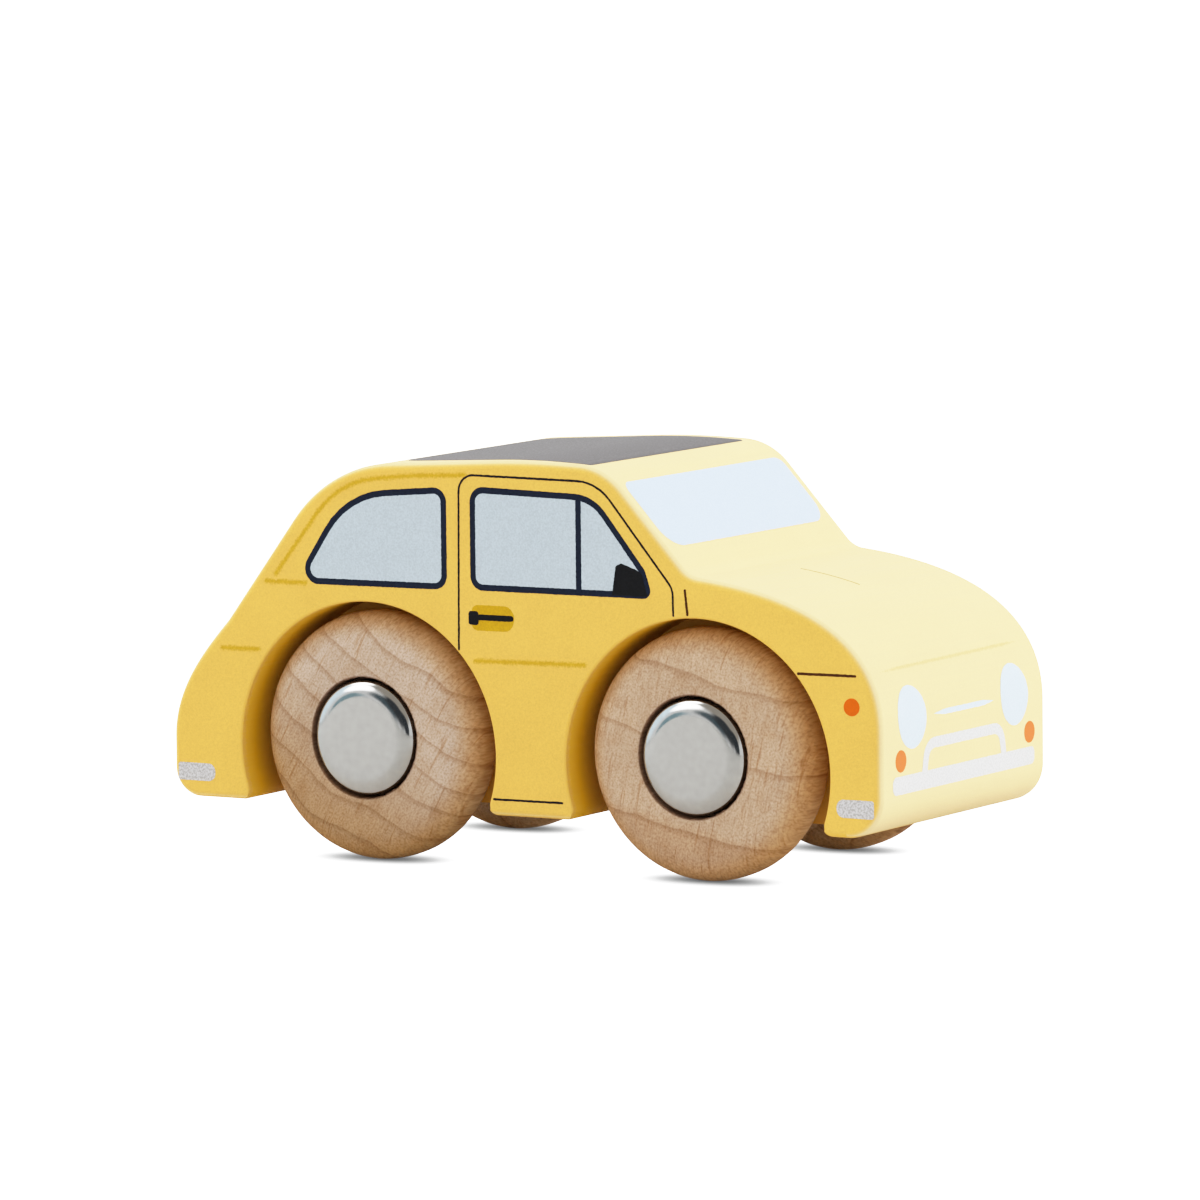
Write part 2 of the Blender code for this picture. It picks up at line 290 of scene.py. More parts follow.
def roughened(points: Points, amount: float, pitch: float = 0.2) -> list[Vector]:
    """A closed outline with the small unevenness of an ink edge on wood.

    Args:
        points: The clean outline.
        amount: About how far a point wanders from it.
        pitch: Longest step from one point to the next.

    Returns:
        The uneven outline.
    """
    dense: list[Vector] = []
    for start, end in zip(points, [*points[1:], points[0]]):
        steps = max(1, round((end - start).length / pitch))
        dense += [start.lerp(end, step / steps) for step in range(steps)]
    rough = []
    for index, point in enumerate(dense):
        along = (dense[(index + 1) % len(dense)] - dense[index - 1]).normalized()
        spot = Vector((point.x, point.y, amount))
        shift = sum(share * noise.noise(spot * waves) for waves, share in INK_WAVES)
        rough.append(point + Vector((along.y, -along.x)) * shift * amount)
    return rough


# Hand tools


@dataclass
class Workpiece:
    """A mesh object on the bench, and the hand tools that shape it."""

    obj: bpy.types.Object

    @classmethod
    def _added(cls, name: str, tool: Callable[..., set[str]], **settings: object) -> "Workpiece":
        """Adds a primitive and takes it in hand.

        Args:
            name: Name of the piece.
            tool: The tool that adds the primitive.
            settings: The tool's own settings.

        Returns:
            The new piece.
        """
        bpy.ops.object.select_all(action="DESELECT")
        tool(**settings)
        obj = bpy.context.active_object
        obj.name = obj.data.name = name
        return cls(obj)

    @classmethod
    def disc(cls, name: str, points: Points) -> "Workpiece":
        """A flat face cut to an outline.

        Args:
            name: Name of the piece.
            points: Corners of the outline, in space.

        Returns:
            The new piece.
        """
        tool = bpy.ops.mesh.primitive_circle_add
        piece = cls._added(name, tool, vertices=len(points), fill_type="NGON")
        for vertex, point in zip(piece.obj.data.vertices, points):
            vertex.co = point
        return piece

    @classmethod
    def rod(cls, name: str, radius: float, height: float, steps: int) -> "Workpiece":
        """A round bar about Z that stands on the origin."""
        sizes = {"vertices": steps, "radius": radius, "depth": height, "location": (0.0, 0.0, height / 2)}
        return cls._added(name, bpy.ops.mesh.primitive_cylinder_add, **sizes).settled()

    @classmethod
    def sheet(cls, name: str, steps: int, rows: int) -> "Workpiece":
        """A flat gridded sheet from -1 to 1 both ways."""
        sizes = {"x_subdivisions": steps, "y_subdivisions": rows, "size": 2.0}
        return cls._added(name, bpy.ops.mesh.primitive_grid_add, **sizes)

    def grab(self) -> None:
        """Makes this piece the only one selected, and the active one."""
        bpy.ops.object.select_all(action="DESELECT")
        self.obj.select_set(True)
        bpy.context.view_layer.objects.active = self.obj

    @contextmanager
    def _edit(self) -> Iterator[None]:
        """Edit mode on this piece alone."""
        self.grab()
        bpy.ops.object.mode_set(mode="EDIT")
        try:
            yield
        finally:
            bpy.ops.object.mode_set(mode="OBJECT")

    def _use(self, kind: Pick, test: Test, tool: Callable[..., set[str]], **settings: object) -> "Workpiece":
        """Uses a tool in edit mode on the elements that pass a test.

        Args:
            kind: What the selection is made of.
            test: Whether an element is part of it.
            tool: The tool.
            settings: The tool's own settings.

        Returns:
            The same piece.
        """
        with self._edit():
            bpy.ops.mesh.select_mode(type=kind.name)
            bpy.ops.mesh.select_all(action="DESELECT")
            work = bmesh.from_edit_mesh(self.obj.data)
            chosen = [element for element in getattr(work, kind.value) if test(element)]
            if not chosen:
                raise ValueError(f"{self.obj.name}: nothing to select")
            for element in chosen:
                element.select_set(True)
            work.select_flush_mode()
            bmesh.update_edit_mesh(self.obj.data)
            tool(**settings)
        return self

    def extrude(self, test: Test, move: Vector) -> "Workpiece":
        """Extrudes the faces that pass a test along a direction."""
        way = {"value": move}
        return self._use(Pick.FACE, test, bpy.ops.mesh.extrude_region_move, TRANSFORM_OT_translate=way)

    def inset(self, test: Test, width: float) -> "Workpiece":
        """Insets the faces that pass a test."""
        return self._use(Pick.FACE, test, bpy.ops.mesh.inset, thickness=width)

    def bevel(self, test: Test, width: float, segments: int) -> "Workpiece":
        """Rounds the edges that pass a test."""
        cut = {"offset": width, "segments": segments, "affect": "EDGES", "clamp_overlap": False}
        return self._use(Pick.EDGE, test, bpy.ops.mesh.bevel, **cut)

    def bridge(self, test: Test) -> "Workpiece":
        """Opens two facing faces into each other, as a hole is drilled through."""
        return self._use(Pick.FACE, test, bpy.ops.mesh.bridge_edge_loops)

    def thicken(self, height: float) -> "Workpiece":
        """Gives a flat sheet a thickness."""
        return self.extrude(lambda face: True, Vector((0.0, 0.0, height)))

    def score(self, places: Sequence[float]) -> "Workpiece":
        """Cuts a flat sheet across, so that it can bend there.

        Args:
            places: Where to cut it along its second axis.

        Returns:
            The same piece.
        """
        with self._edit():
            for place in places:
                bpy.ops.mesh.select_all(action="SELECT")
                bpy.ops.mesh.bisect(plane_co=(0.0, place, 0.0), plane_no=(0.0, 1.0, 0.0))
        return self

    def shape(self, move: Callable[[Vector], Vector]) -> "Workpiece":
        """Moves every vertex to the place that a rule gives it.

        Args:
            move: The rule.

        Returns:
            The same piece.
        """
        for vertex in self.obj.data.vertices:
            vertex.co = move(vertex.co)
        return self

    def settled(self) -> "Workpiece":
        """The piece with its place, turn and size moved into its mesh."""
        self.grab()
        bpy.ops.object.transform_apply(location=True, rotation=True, scale=True)
        return self

    def placed(self, move: Vector, turn: Quaternion) -> "Workpiece":
        """Turns the piece about the origin and then moves it.

        Args:
            move: The way it moves.
            turn: The way it turns.

        Returns:
            The same piece.
        """
        self.obj.rotation_mode = "QUATERNION"
        self.obj.rotation_quaternion = turn
        self.obj.location = move
        return self.settled()

    def _modified(self, kind: str, **settings: object) -> "Workpiece":
        """Makes a modifier's effect part of the mesh.

        Args:
            kind: The modifier's type.
            settings: Its own settings.

        Returns:
            The same piece.
        """
        modifier = self.obj.modifiers.new(kind.title(), kind)
        for name, value in settings.items():
            setattr(modifier, name, value)
        self.grab()
        bpy.ops.object.modifier_apply(modifier=modifier.name)
        return self

    def cut(self, tool: "Workpiece") -> "Workpiece":
        """Takes another piece's shape out of this one, and throws the other away.

        Args:
            tool: The other piece.

        Returns:
            The same piece.
        """
        self._modified("BOOLEAN", operation="DIFFERENCE", object=tool.obj)
        bpy.data.objects.remove(tool.obj)
        return self

    def weighted(self) -> "Workpiece":
        """The piece with its shading led by its large faces."""
        return self._modified("WEIGHTED_NORMAL", keep_sharp=True)

    def tidied(self, sharp: float = SHARP) -> "Workpiece":
        """Merges doubles, turns faces outwards and shades the piece smooth.

        Args:
            sharp: Edges that turn more than this stay sharp.

        Returns:
            The same piece.
        """
        with self._edit():
            bpy.ops.mesh.select_all(action="SELECT")
            bpy.ops.mesh.remove_doubles(threshold=HAIR * MM)
            bpy.ops.mesh.normals_make_consistent(inside=False)
        self.grab()
        bpy.ops.object.shade_smooth_by_angle(angle=sharp)
        return self

    def copied(self, name: str) -> "Workpiece":
        """A second piece with a mesh of its own.

        Args:
            name: Name of the second piece.

        Returns:
            The second piece.
        """
        double = self.obj.copy()
        double.data = self.obj.data.copy()
        double.name = double.data.name = name
        bpy.context.scene.collection.objects.link(double)
        return Workpiece(double)

    def mirrored(self, name: str) -> "Workpiece":
        """A copy on the other side of the car.

        Args:
            name: Name of the copy.

        Returns:
            The copy.
        """
        double = self.copied(name)
        double.obj.scale.y = -1.0
        return double.settled().tidied()

    def dressed(self, finish: "Finish", body: str, slot: str = "", replaces: str = "") -> "Workpiece":
        """Gives the piece its finish and its place in the frame, and reports it.

        Args:
            finish: What its surface is.
            body: The CAD body that it rides on.
            slot: Not used.
            replaces: The CAD node that it stands for, if any.

        Returns:
            The same piece.
        """
        self.obj.data.materials.clear()
        self.obj.data.materials.append(finish.material())
        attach(self.obj, body)
        if replaces:
            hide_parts(replaces)
        LOG.info("%s: %d faces, on %s", self.obj.name, len(self.obj.data.polygons), body)
        return self


# Finishes


@dataclass
class Nodes:
    """A tree of shading nodes, with short ways to add and join them."""

    tree: bpy.types.NodeTree

    def feed(self, value: object, target: Socket) -> None:
        """Sets a socket to a value or joins it to another socket.

        Args:
            value: The value or the other socket.
            target: The socket.
        """
        if isinstance(value, Socket):
            self.tree.links.new(value, target)
        else:
            target.default_value = value

    def add(self, kind: str, feeds: dict[str | int, object], **settings: object) -> bpy.types.Node:
        """Adds a node.

        Args:
            kind: The node's type, without the words that all types start with.
            feeds: Values or sockets for its inputs.
            settings: Its own settings.

        Returns:
            The node.
        """
        node = self.tree.nodes.new(f"ShaderNode{kind}")
        for name, value in settings.items():
            setattr(node, name, value)
        for place, value in feeds.items():
            self.feed(value, node.inputs[place])
        return node

    def math(self, operation: str, *values: float | Socket) -> Socket:
        """The result of a Math node's operation on numbers or sockets."""
        return self.add("Math", dict(enumerate(values)), operation=operation).outputs["Value"]

    def span(
        self, value: Socket, low: float, high: float, to_low: float = 0.0, to_high: float = 1.0
    ) -> Socket:
        """A value carried smoothly from between low and high to another range, which it never leaves."""
        feeds = {"Value": value, "From Min": low, "From Max": high, "To Min": to_low, "To Max": to_high}
        return self.add("MapRange", feeds, interpolation_type="SMOOTHSTEP").outputs["Result"]

    def mix(self, share: float | Socket, first: object, second: object, blend: str = "MIX") -> Socket:
        """Two colours mixed, with the share of the second."""
        feeds = {0: share, 6: first, 7: second}
        return self.add("Mix", feeds, data_type="RGBA", blend_type=blend).outputs[2]

    def ramp(self, value: Socket, stops: Sequence[tuple[float, Colour]]) -> Socket:
        """Colours laid along a value.

        Args:
            value: The value, from 0 to 1.
            stops: Places along it and the colours there.

        Returns:
            The colour socket.
        """
        node = self.add("ValToRGB", {"Fac": value})
        elements = node.color_ramp.elements
        while len(elements) < len(stops):
            elements.new(1.0)
        for element, (place, colour) in zip(elements, stops):
            element.position = place
            element.color = (*colour, 1.0)
        return node.outputs["Color"]


class Recipe(Nodes):
    """A Principled material's nodes. Patterns are laid out in millimetres."""

    def __init__(self, name: str, turn: float = 0.0, centre: Vector | None = None) -> None:
        """Starts a material.

        Args:
            name: Name of the material.
            turn: Turn of its pattern about the car's cross axis.
            centre: Where the pattern has its middle, in metres.
        """
        self.material = bpy.data.materials.new(name)
        self.material.use_nodes = True
        super().__init__(self.material.node_tree)
        self.shader = self.tree.nodes["Principled BSDF"]
        place = self.add("TexCoord", {}).outputs["Object"]
        shift = -(centre or Vector((0.0, 0.0, 0.0))) / MM
        moved = self._mapped({"Vector": place, "Location": shift, "Scale": (1 / MM, 1 / MM, 1 / MM)})
        self.place = self._mapped({"Vector": moved, "Rotation": (0.0, turn, 0.0)})

    def _mapped(self, feeds: dict[str | int, object]) -> Socket:
        """A vector moved, turned or scaled."""
        return self.add("Mapping", feeds).outputs["Vector"]

    def set(self, name: str, value: object) -> None:
        """Sets an input of the surface to a value or joins it to a socket."""
        self.feed(value, self.shader.inputs[name])

    def noise(self, stretch: Colour, detail: float = 2.0, shift: float = 0.0) -> Socket:
        """A cloudy pattern between 0 and 1.

        Args:
            stretch: Repeats per millimetre along each axis.
            detail: Octaves of finer cloud.
            shift: Offset that makes one pattern differ from the next.

        Returns:
            The value socket.
        """
        offset = (shift, shift * 0.7, shift * 1.3)
        place = self._mapped({"Vector": self.place, "Scale": stretch, "Location": offset})
        return self.add("TexNoise", {"Vector": place, "Scale": 1.0, "Detail": detail}).outputs["Fac"]

    def axis(self, letter: str) -> Socket:
        """One coordinate of the pattern's place, in millimetres."""
        return self.add("SeparateXYZ", {"Vector": self.place}).outputs[letter]

    def attribute(self, name: str) -> Socket:
        """A value stored on the piece's vertices."""
        return self.add("Attribute", {}, attribute_name=name).outputs["Fac"]

    def bump(self, height: Socket, depth: float) -> None:
        """Raises the surface by a pattern, up to a depth in millimetres."""
        node = self.add("Bump", {"Height": height, "Strength": 1.0, "Distance": depth * MM})
        self.set("Normal", node.outputs["Normal"])


def shade(colour: Colour, factor: float) -> Colour:
    """A colour made lighter or darker."""
    red, green, blue = colour
    return (red * factor, green * factor, blue * factor)


@dataclass(frozen=True)
class Finish(ABC):
    """What a surface is made of."""

    name: str

    @abstractmethod
    def mixed(self) -> Recipe:
        """The finish as nodes."""

    @cache
    def material(self) -> bpy.types.Material:
        """The finish as a material, made once."""
        return self.mixed().material


@dataclass(frozen=True)
class YellowPaint(Finish):
    """Eggshell paint over fine wood: full yellow on the sides, paler on the sawn outline as painted
    highlight.
    """

    base: Colour = (0.85, 0.51, 0.094)
    pale: Colour = (0.87, 0.69, 0.355)
    base_depth: float = 0.10
    pale_depth: float = 0.04
    side: float = 19.25
    ease: float = 0.36
    floor: float = 6.2
    sill: float = 0.6

    @staticmethod
    def tone(recipe: Recipe) -> Socket:
        """The paint's unevenness, with its roughness and relief set on the recipe.

        Args:
            recipe: The material that gets the paint.

        Returns:
            The value socket, about 0.5 in the middle.
        """
        grain = recipe.noise((2.4, 0.05, 2.4), detail=4.0)
        cloud = recipe.noise((0.16, 0.10, 0.16), detail=3.0)
        speck = recipe.noise((5.0, 5.0, 5.0), detail=1.0)
        recipe.set("Roughness", recipe.span(grain, 0.3, 0.7, 0.50, 0.62))
        recipe.set("Specular IOR Level", 0.16)
        recipe.bump(recipe.math("MULTIPLY_ADD", speck, 0.3, grain), 0.012)
        tone = recipe.math("MULTIPLY_ADD", grain, 0.30, recipe.math("MULTIPLY", cloud, 0.25))
        return recipe.math("MULTIPLY_ADD", speck, 0.45, tone)

    def coat(self, recipe: Recipe) -> Socket:
        """The paint's colour on the sides and on the outline.

        Args:
            recipe: The material that gets the paint.

        Returns:
            The colour socket.
        """
        tone = self.tone(recipe)
        places = ((0.34, -1), (0.50, 0), (0.66, 1))
        # thin holds the paler yellow, a painted highlight for the bright top, nose and tail.
        full, thin = (
            recipe.ramp(tone, [(place, shade(colour, 1 + way * depth)) for place, way in places])
            for colour, depth in ((self.base, self.base_depth), (self.pale, self.pale_depth))
        )
        # Painted highlight: the outline faces take the paler yellow; the flat sides and the strip just above
        # the floor keep the full yellow.
        flank = recipe.span(recipe.math("ABSOLUTE", recipe.axis("Y")), self.side - self.ease, self.side)
        under = recipe.span(recipe.axis("Z"), self.floor + 0.1, self.floor + self.sill, 1.0, 0.0)
        return recipe.mix(recipe.math("MAXIMUM", flank, under), thin, full)

    def mixed(self) -> Recipe:
        """The paint on open faces."""
        recipe = Recipe(self.name)
        recipe.set("Base Color", self.coat(recipe))
        return recipe


@dataclass(frozen=True)
class PocketPaint(YellowPaint):
    """The same paint inside a wheel pocket, with painted shade that turns it mustard, then brown, with depth.
    """

    back: float = 9.55
    # Painted shade: lip, mustard and brown are the colours from the mouth of the pocket to its back.
    lip: Colour = (0.85, 0.49, 0.035)
    mustard: Colour = (0.84, 0.45, 0.012)
    brown: Colour = (0.62, 0.29, 0.040)

    def mixed(self) -> Recipe:
        """The paint from the pocket's lip to its floor, darkened with depth as painted shade."""
        recipe = Recipe(self.name)
        depth = recipe.span(recipe.math("ABSOLUTE", recipe.axis("Y")), self.back, self.side, 1.0, 0.0)
        uneven = recipe.math("MULTIPLY_ADD", self.tone(recipe), 0.10, recipe.math("SUBTRACT", depth, 0.05))
        stops = [(0.0, self.base), (0.03, self.lip), (0.20, self.mustard), (0.75, self.brown)]
        recipe.set("Base Color", recipe.ramp(uneven, stops))
        return recipe


@dataclass(frozen=True)
class SoftCrease(YellowPaint):
    """A stippled mustard shade that fades into the paint across a strip."""

    shade_colour: Colour = (0.60, 0.335, 0.003)
    strength: float = 0.9

    def mixed(self) -> Recipe:
        """The paint, with the shade over its middle."""
        recipe = Recipe(self.name)
        coat = self.coat(recipe)
        middle = recipe.math("SUBTRACT", 1.0, recipe.attribute("across"))
        stipple = recipe.noise((4.5, 4.5, 4.5), detail=1.0)
        share = recipe.math("SUBTRACT", middle, recipe.math("MULTIPLY", stipple, 0.8))
        share = recipe.span(share, -0.20, 0.50, 0.0, self.strength)
        dark, light = shade(self.shade_colour, 0.9), shade(self.shade_colour, 1.1)
        recipe.set("Base Color", recipe.mix(share, coat, recipe.ramp(stipple, [(0.3, dark), (0.7, light)])))
        return recipe


@dataclass(frozen=True)
class Ink(Finish):
    """Opaque printing ink with a fine speckle from the paint below."""

    base: Colour = (0.6, 0.6, 0.6)
    speckle: float = 0.06
    roughness: float = 0.55
    level: float = 0.25

    def mixed(self) -> Recipe:
        """The ink's colour, speckle and relief."""
        recipe = Recipe(self.name)
        fine = recipe.noise((4.5, 4.5, 4.5))
        cloud = recipe.noise((0.5, 0.5, 0.5))
        tone = recipe.math("MULTIPLY_ADD", cloud, 0.15, recipe.math("MULTIPLY", fine, 0.85))
        stops = [(0.35, shade(self.base, 1 - self.speckle)), (0.65, shade(self.base, 1 + self.speckle))]
        recipe.set("Base Color", recipe.ramp(tone, stops))
        recipe.set("Roughness", recipe.span(fine, 0.3, 0.7, self.roughness - 0.05, self.roughness + 0.05))
        recipe.set("Specular IOR Level", self.level)
        recipe.bump(fine, 0.006)
        return recipe


@dataclass(frozen=True)
class SilverInk(Finish):
    """Metallic silver ink: pale flakes in a grey ground."""

    flake: Colour = (0.64, 0.63, 0.64)
    ground: Colour = (0.41, 0.39, 0.38)

    def mixed(self) -> Recipe:
        """The flakes and their ground."""
        recipe = Recipe(self.name)
        flakes = recipe.noise((4.2, 4.2, 4.2), detail=3.0)
        recipe.set("Base Color", recipe.ramp(flakes, [(0.40, self.ground), (0.56, self.flake)]))
        recipe.set("Roughness", recipe.span(flakes, 0.35, 0.65, 0.6, 0.4))
        recipe.bump(flakes, 0.01)
        return recipe


@dataclass(frozen=True)
class Metal(Finish):
    """Bare metal with fine handling marks."""

    base: Colour = (0.80, 0.80, 0.79)
    roughness: float = 0.18
    marks: float = 0.05
    scratch: Colour = (1.2, 1.2, 1.2)
    relief: float = 0.004

    def mixed(self) -> Recipe:
        """The metal's colour, polish and marks."""
        recipe = Recipe(self.name)
        haze = recipe.noise(self.scratch, detail=3.0)
        fine = recipe.noise((6.0, 6.0, 6.0))
        stops = [(0.3, shade(self.base, 0.94)), (0.7, shade(self.base, 1.04))]
        recipe.set("Base Color", recipe.ramp(haze, stops))
        recipe.set("Roughness", recipe.span(haze, 0.3, 0.7, self.roughness, self.roughness + self.marks))
        recipe.set("Metallic", 1.0)
        recipe.bump(recipe.math("MULTIPLY_ADD", fine, 0.5, haze), self.relief)
        return recipe


@dataclass(frozen=True)
class Grain:
    """How one wheel lies in its board.

    Attributes:
        turn: Tilt of the growth lines in the side view.
        shift: Offset that makes one board differ from the next.
        pitch: Distance between growth lines, in millimetres.
        heart: Where across the wheel the darker wood ends.
        fade: How softly it ends.
        tint: The colour beyond the heart line against the plain wood; on the two left wheels it is painted
            fill light.
        heart_tint: The darker wood's colour against the plain wood.
    """

    turn: float
    shift: float
    pitch: float = 3.5
    heart: float = -3.0
    fade: float = 5.0
    tint: Colour = (1.0, 1.0, 1.0)
    heart_tint: Colour = (0.92, 0.84, 0.73)


@dataclass(frozen=True)
class TurnedBeech(Finish):
    """Beech cut along its grain: growth lines, fine rays across them, hairlines and specks; painted shade at
    the rim and bore.
    """

    grain: Grain
    centre: tuple[float, float, float] = (0.0, 0.0, 0.0)
    bend: float = 0.008
    sway: float = 4.0
    base: Colour = (0.505, 0.358, 0.246)
    line_tint: Colour = (0.78, 0.70, 0.60)
    line: tuple[float, float] = (0.75, 0.12)
    ray_tint: Colour = (0.82, 0.72, 0.60)
    # Painted shade: the rim's darker orange-brown stands in for the shade and yellow bounce in the wheel
    # pocket.
    rim_tint: Colour = (1.0, 0.85, 0.56)
    rim: tuple[float, float] = (11.0, 13.7)
    # Painted shade: the dark ring in the counterbore's mouth stands in for the shade in the gap round the
    # cap.
    throat_tint: Colour = (0.34, 0.25, 0.20)
    throat: tuple[float, float] = (6.84, 7.04)

    def _growth(self, recipe: Recipe, depth: Socket) -> Socket:
        """The growth lines, each dark at its late edge, and the darker wood below them.

        Args:
            recipe: The material that gets the wood.
            depth: Place across the growth lines, in millimetres.

        Returns:
            The colour socket.
        """
        pitch, heart, fade, clear = self.grain.pitch, self.grain.heart, self.grain.fade, (1.0, 1.0, 1.0)
        ring = recipe.math("FRACT", recipe.math("DIVIDE", depth, pitch))
        band = recipe.ramp(ring, [(0.0, shade(self.base, 1.03)), (1.0, shade(self.base, 0.98))])
        start, full = (1 - width / pitch for width in self.line)
        line = recipe.ramp(ring, [(start, clear), (full, self.line_tint), (1.0, clear)])
        share = recipe.span(depth, heart - fade, heart + fade)
        rosy = recipe.ramp(share, [(0.0, self.grain.heart_tint), (1.0, self.grain.tint)])
        return recipe.mix(1.0, recipe.mix(1.0, band, line, "MULTIPLY"), rosy, "MULTIPLY")

    def mixed(self) -> Recipe:
        """The wood's colour and relief about the wheel's own axle."""
        recipe = Recipe(self.name, self.grain.turn, Vector(self.centre))
        shift, clear = self.grain.shift, (1.0, 1.0, 1.0)
        along, across = recipe.axis("X"), recipe.axis("Z")
        sway = recipe.math("SUBTRACT", recipe.noise((0.10, 0.02, 0.14), shift=shift), 0.5)
        bend = recipe.math("MULTIPLY", recipe.math("POWER", along, 2.0), self.bend)
        depth = recipe.math("MULTIPLY_ADD", sway, self.sway, recipe.math("SUBTRACT", across, bend))
        ray = recipe.noise((2.6, 0.03, 0.20), shift=shift + 3.0)
        hair = recipe.noise((4.6, 0.05, 0.45), shift=shift + 5.0)
        speck = recipe.noise((4.4, 0.3, 3.8), detail=3.0, shift=shift + 7.0)
        stain = recipe.noise((0.5, 0.1, 0.5), detail=3.0, shift=shift + 11.0)
        squares = (recipe.math("POWER", way, 2.0) for way in (along, across))
        reach = recipe.math("SQRT", recipe.math("ADD", *squares))
        layers = (
            recipe.ramp(ray, [(0.29, self.ray_tint), (0.38, clear)]),
            recipe.ramp(hair, [(0.32, (0.93, 0.89, 0.84)), (0.5, clear), (0.68, (1.05, 1.06, 1.07))]),
            recipe.ramp(speck, [(0.34, (0.82, 0.75, 0.67)), (0.5, clear), (0.66, (1.13, 1.16, 1.20))]),
            recipe.ramp(stain, [(0.30, (0.92, 0.87, 0.80)), (0.5, clear), (0.7, (1.04, 1.04, 1.04))]),
            # Painted shade on the rounded rim.
            recipe.ramp(recipe.span(reach, *self.rim), [(0.0, clear), (1.0, self.rim_tint)]),
            # Painted shade in the counterbore's mouth.
            recipe.ramp(recipe.span(reach, *self.throat), [(0.0, self.throat_tint), (1.0, clear)]),
        )
        colour = self._growth(recipe, depth)
        for layer in layers:
            colour = recipe.mix(1.0, colour, layer, "MULTIPLY")
        recipe.set("Base Color", colour)
        recipe.set("Roughness", recipe.span(speck, 0.3, 0.7, 0.70, 0.58))
        recipe.set("Specular IOR Level", 0.18)
        recipe.bump(recipe.math("MULTIPLY_ADD", hair, 0.6, ray), 0.02)
        return recipe


PAINT = YellowPaint("yellow_paint")
POCKET_SHADED_PAINT = PocketPaint("pocket_paint")
CREASE = SoftCrease("soft_crease")
SEAM = SoftCrease("seam_shade", shade_colour=(0.70, 0.54, 0.21), strength=0.6)
MUSTARD = Ink("mustard_ink", (0.59, 0.33, 0.007), 0.10, level=0.1)
NAVY = Ink("navy_ink", (0.008, 0.012, 0.026), 0.25, level=0.08)
BLACK = Ink("black_ink", (0.006, 0.006, 0.007), 0.25, level=0.08)
BROWN = Ink("brown_ink", (0.060, 0.018, 0.003), 0.25, level=0.08)
SIDE_GLASS = Ink("side_glass_ink", (0.49, 0.57, 0.63), 0.09)
SCREEN_GLASS = Ink("screen_ink", (0.56, 0.665, 0.84), 0.03)
LAMP_GLASS = Ink("lamp_ink", (0.61, 0.715, 0.83), 0.03)
ORANGE = Ink("orange_ink", (0.73, 0.12, 0.002), 0.05, level=0.1)
AMBER = Ink("amber_ink", (0.73, 0.195, 0.034), 0.05)
RED = Ink("red_ink", (0.55, 0.025, 0.012), 0.05)
CHARCOAL = Ink("charcoal_ink", (0.048, 0.038, 0.037), 0.30, 0.40, 0.3)
OLIVE = Ink("olive_line_ink", (0.46, 0.34, 0.08), 0.08)
SILVER = SilverInk("silver_ink")
PALE_SILVER = SilverInk("pale_silver_ink", (0.70, 0.70, 0.71), (0.63, 0.63, 0.63))
BRIGHT_STEEL = Metal("bright_steel", (0.42, 0.415, 0.40), 0.09, 0.04, relief=0.002)
DRAWN_STEEL = Metal("drawn_steel", (0.56, 0.56, 0.57), 0.28, 0.10, (2.0, 0.15, 2.0), 0.008)
SPRING_STEEL = Metal("spring_steel", (0.30, 0.31, 0.33), 0.34, 0.10)
NYLON = Ink("pale_nylon", (0.72, 0.70, 0.64), 0.05, 0.45, 0.4)


# Surfaces that carry print


class Surface(ABC):
    """A face of the block on which flat outlines are laid."""

    @abstractmethod
    def place(self, flat: Vector) -> Vector:
        """Where a flat point lies on the car, in metres. Its third value is its height above the paint."""

    def folds(self, low: float, high: float) -> list[float]:
        """Where between two values a sheet has to bend."""
        return []


@dataclass
class SideFace(Surface):
    """The flat right side: first axis along the car, second axis up."""

    half_width: float

    def place(self, flat: Vector) -> Vector:
        """The point on the right side."""
        return Vector((flat.x, -(self.half_width + flat.z), flat.y)) * MM


class WrapFace(Surface):
    """The bent skin from nose to tail: first axis across the car, second axis along the skin."""

    def __init__(self, points: Points, start: float) -> None:
        """Lays the second axis along the points.

        Args:
            points: The skin's side view, from the nose's foot over the roof to the tail's foot.
            start: The second axis at the first point.
        """
        self.points = [points[0]]
        self.runs = [start]
        for point in points[1:]:
            step = (point - self.points[-1]).length
            if step > HAIR:
                self.points.append(point)
                self.runs.append(self.runs[-1] + step)

    def _normal(self, index: int) -> Vector:
        """The outward direction at a corner of the skin."""
        along = self.points[min(index + 1, len(self.points) - 1)] - self.points[max(index - 1, 0)]
        return Vector((along.y, -along.x)).normalized()

    def place(self, flat: Vector) -> Vector:
        """The point on the skin.

        Args:
            flat: Its place across the car, along the skin and above the paint.

        Returns:
            Its place on the car, in metres.
        """
        index = min(max(bisect_right(self.runs, flat.y) - 1, 0), len(self.runs) - 2)
        share = (flat.y - self.runs[index]) / (self.runs[index + 1] - self.runs[index])
        base = self.points[index].lerp(self.points[index + 1], share)
        normal = self._normal(index).lerp(self._normal(index + 1), share)
        spot = base + normal * flat.z
        return Vector((spot.x, flat.x, spot.y)) * MM

    def folds(self, low: float, high: float) -> list[float]:
        """The skin's own corners between two places."""
        return [run for run in self.runs if low + HAIR < run < high - HAIR]


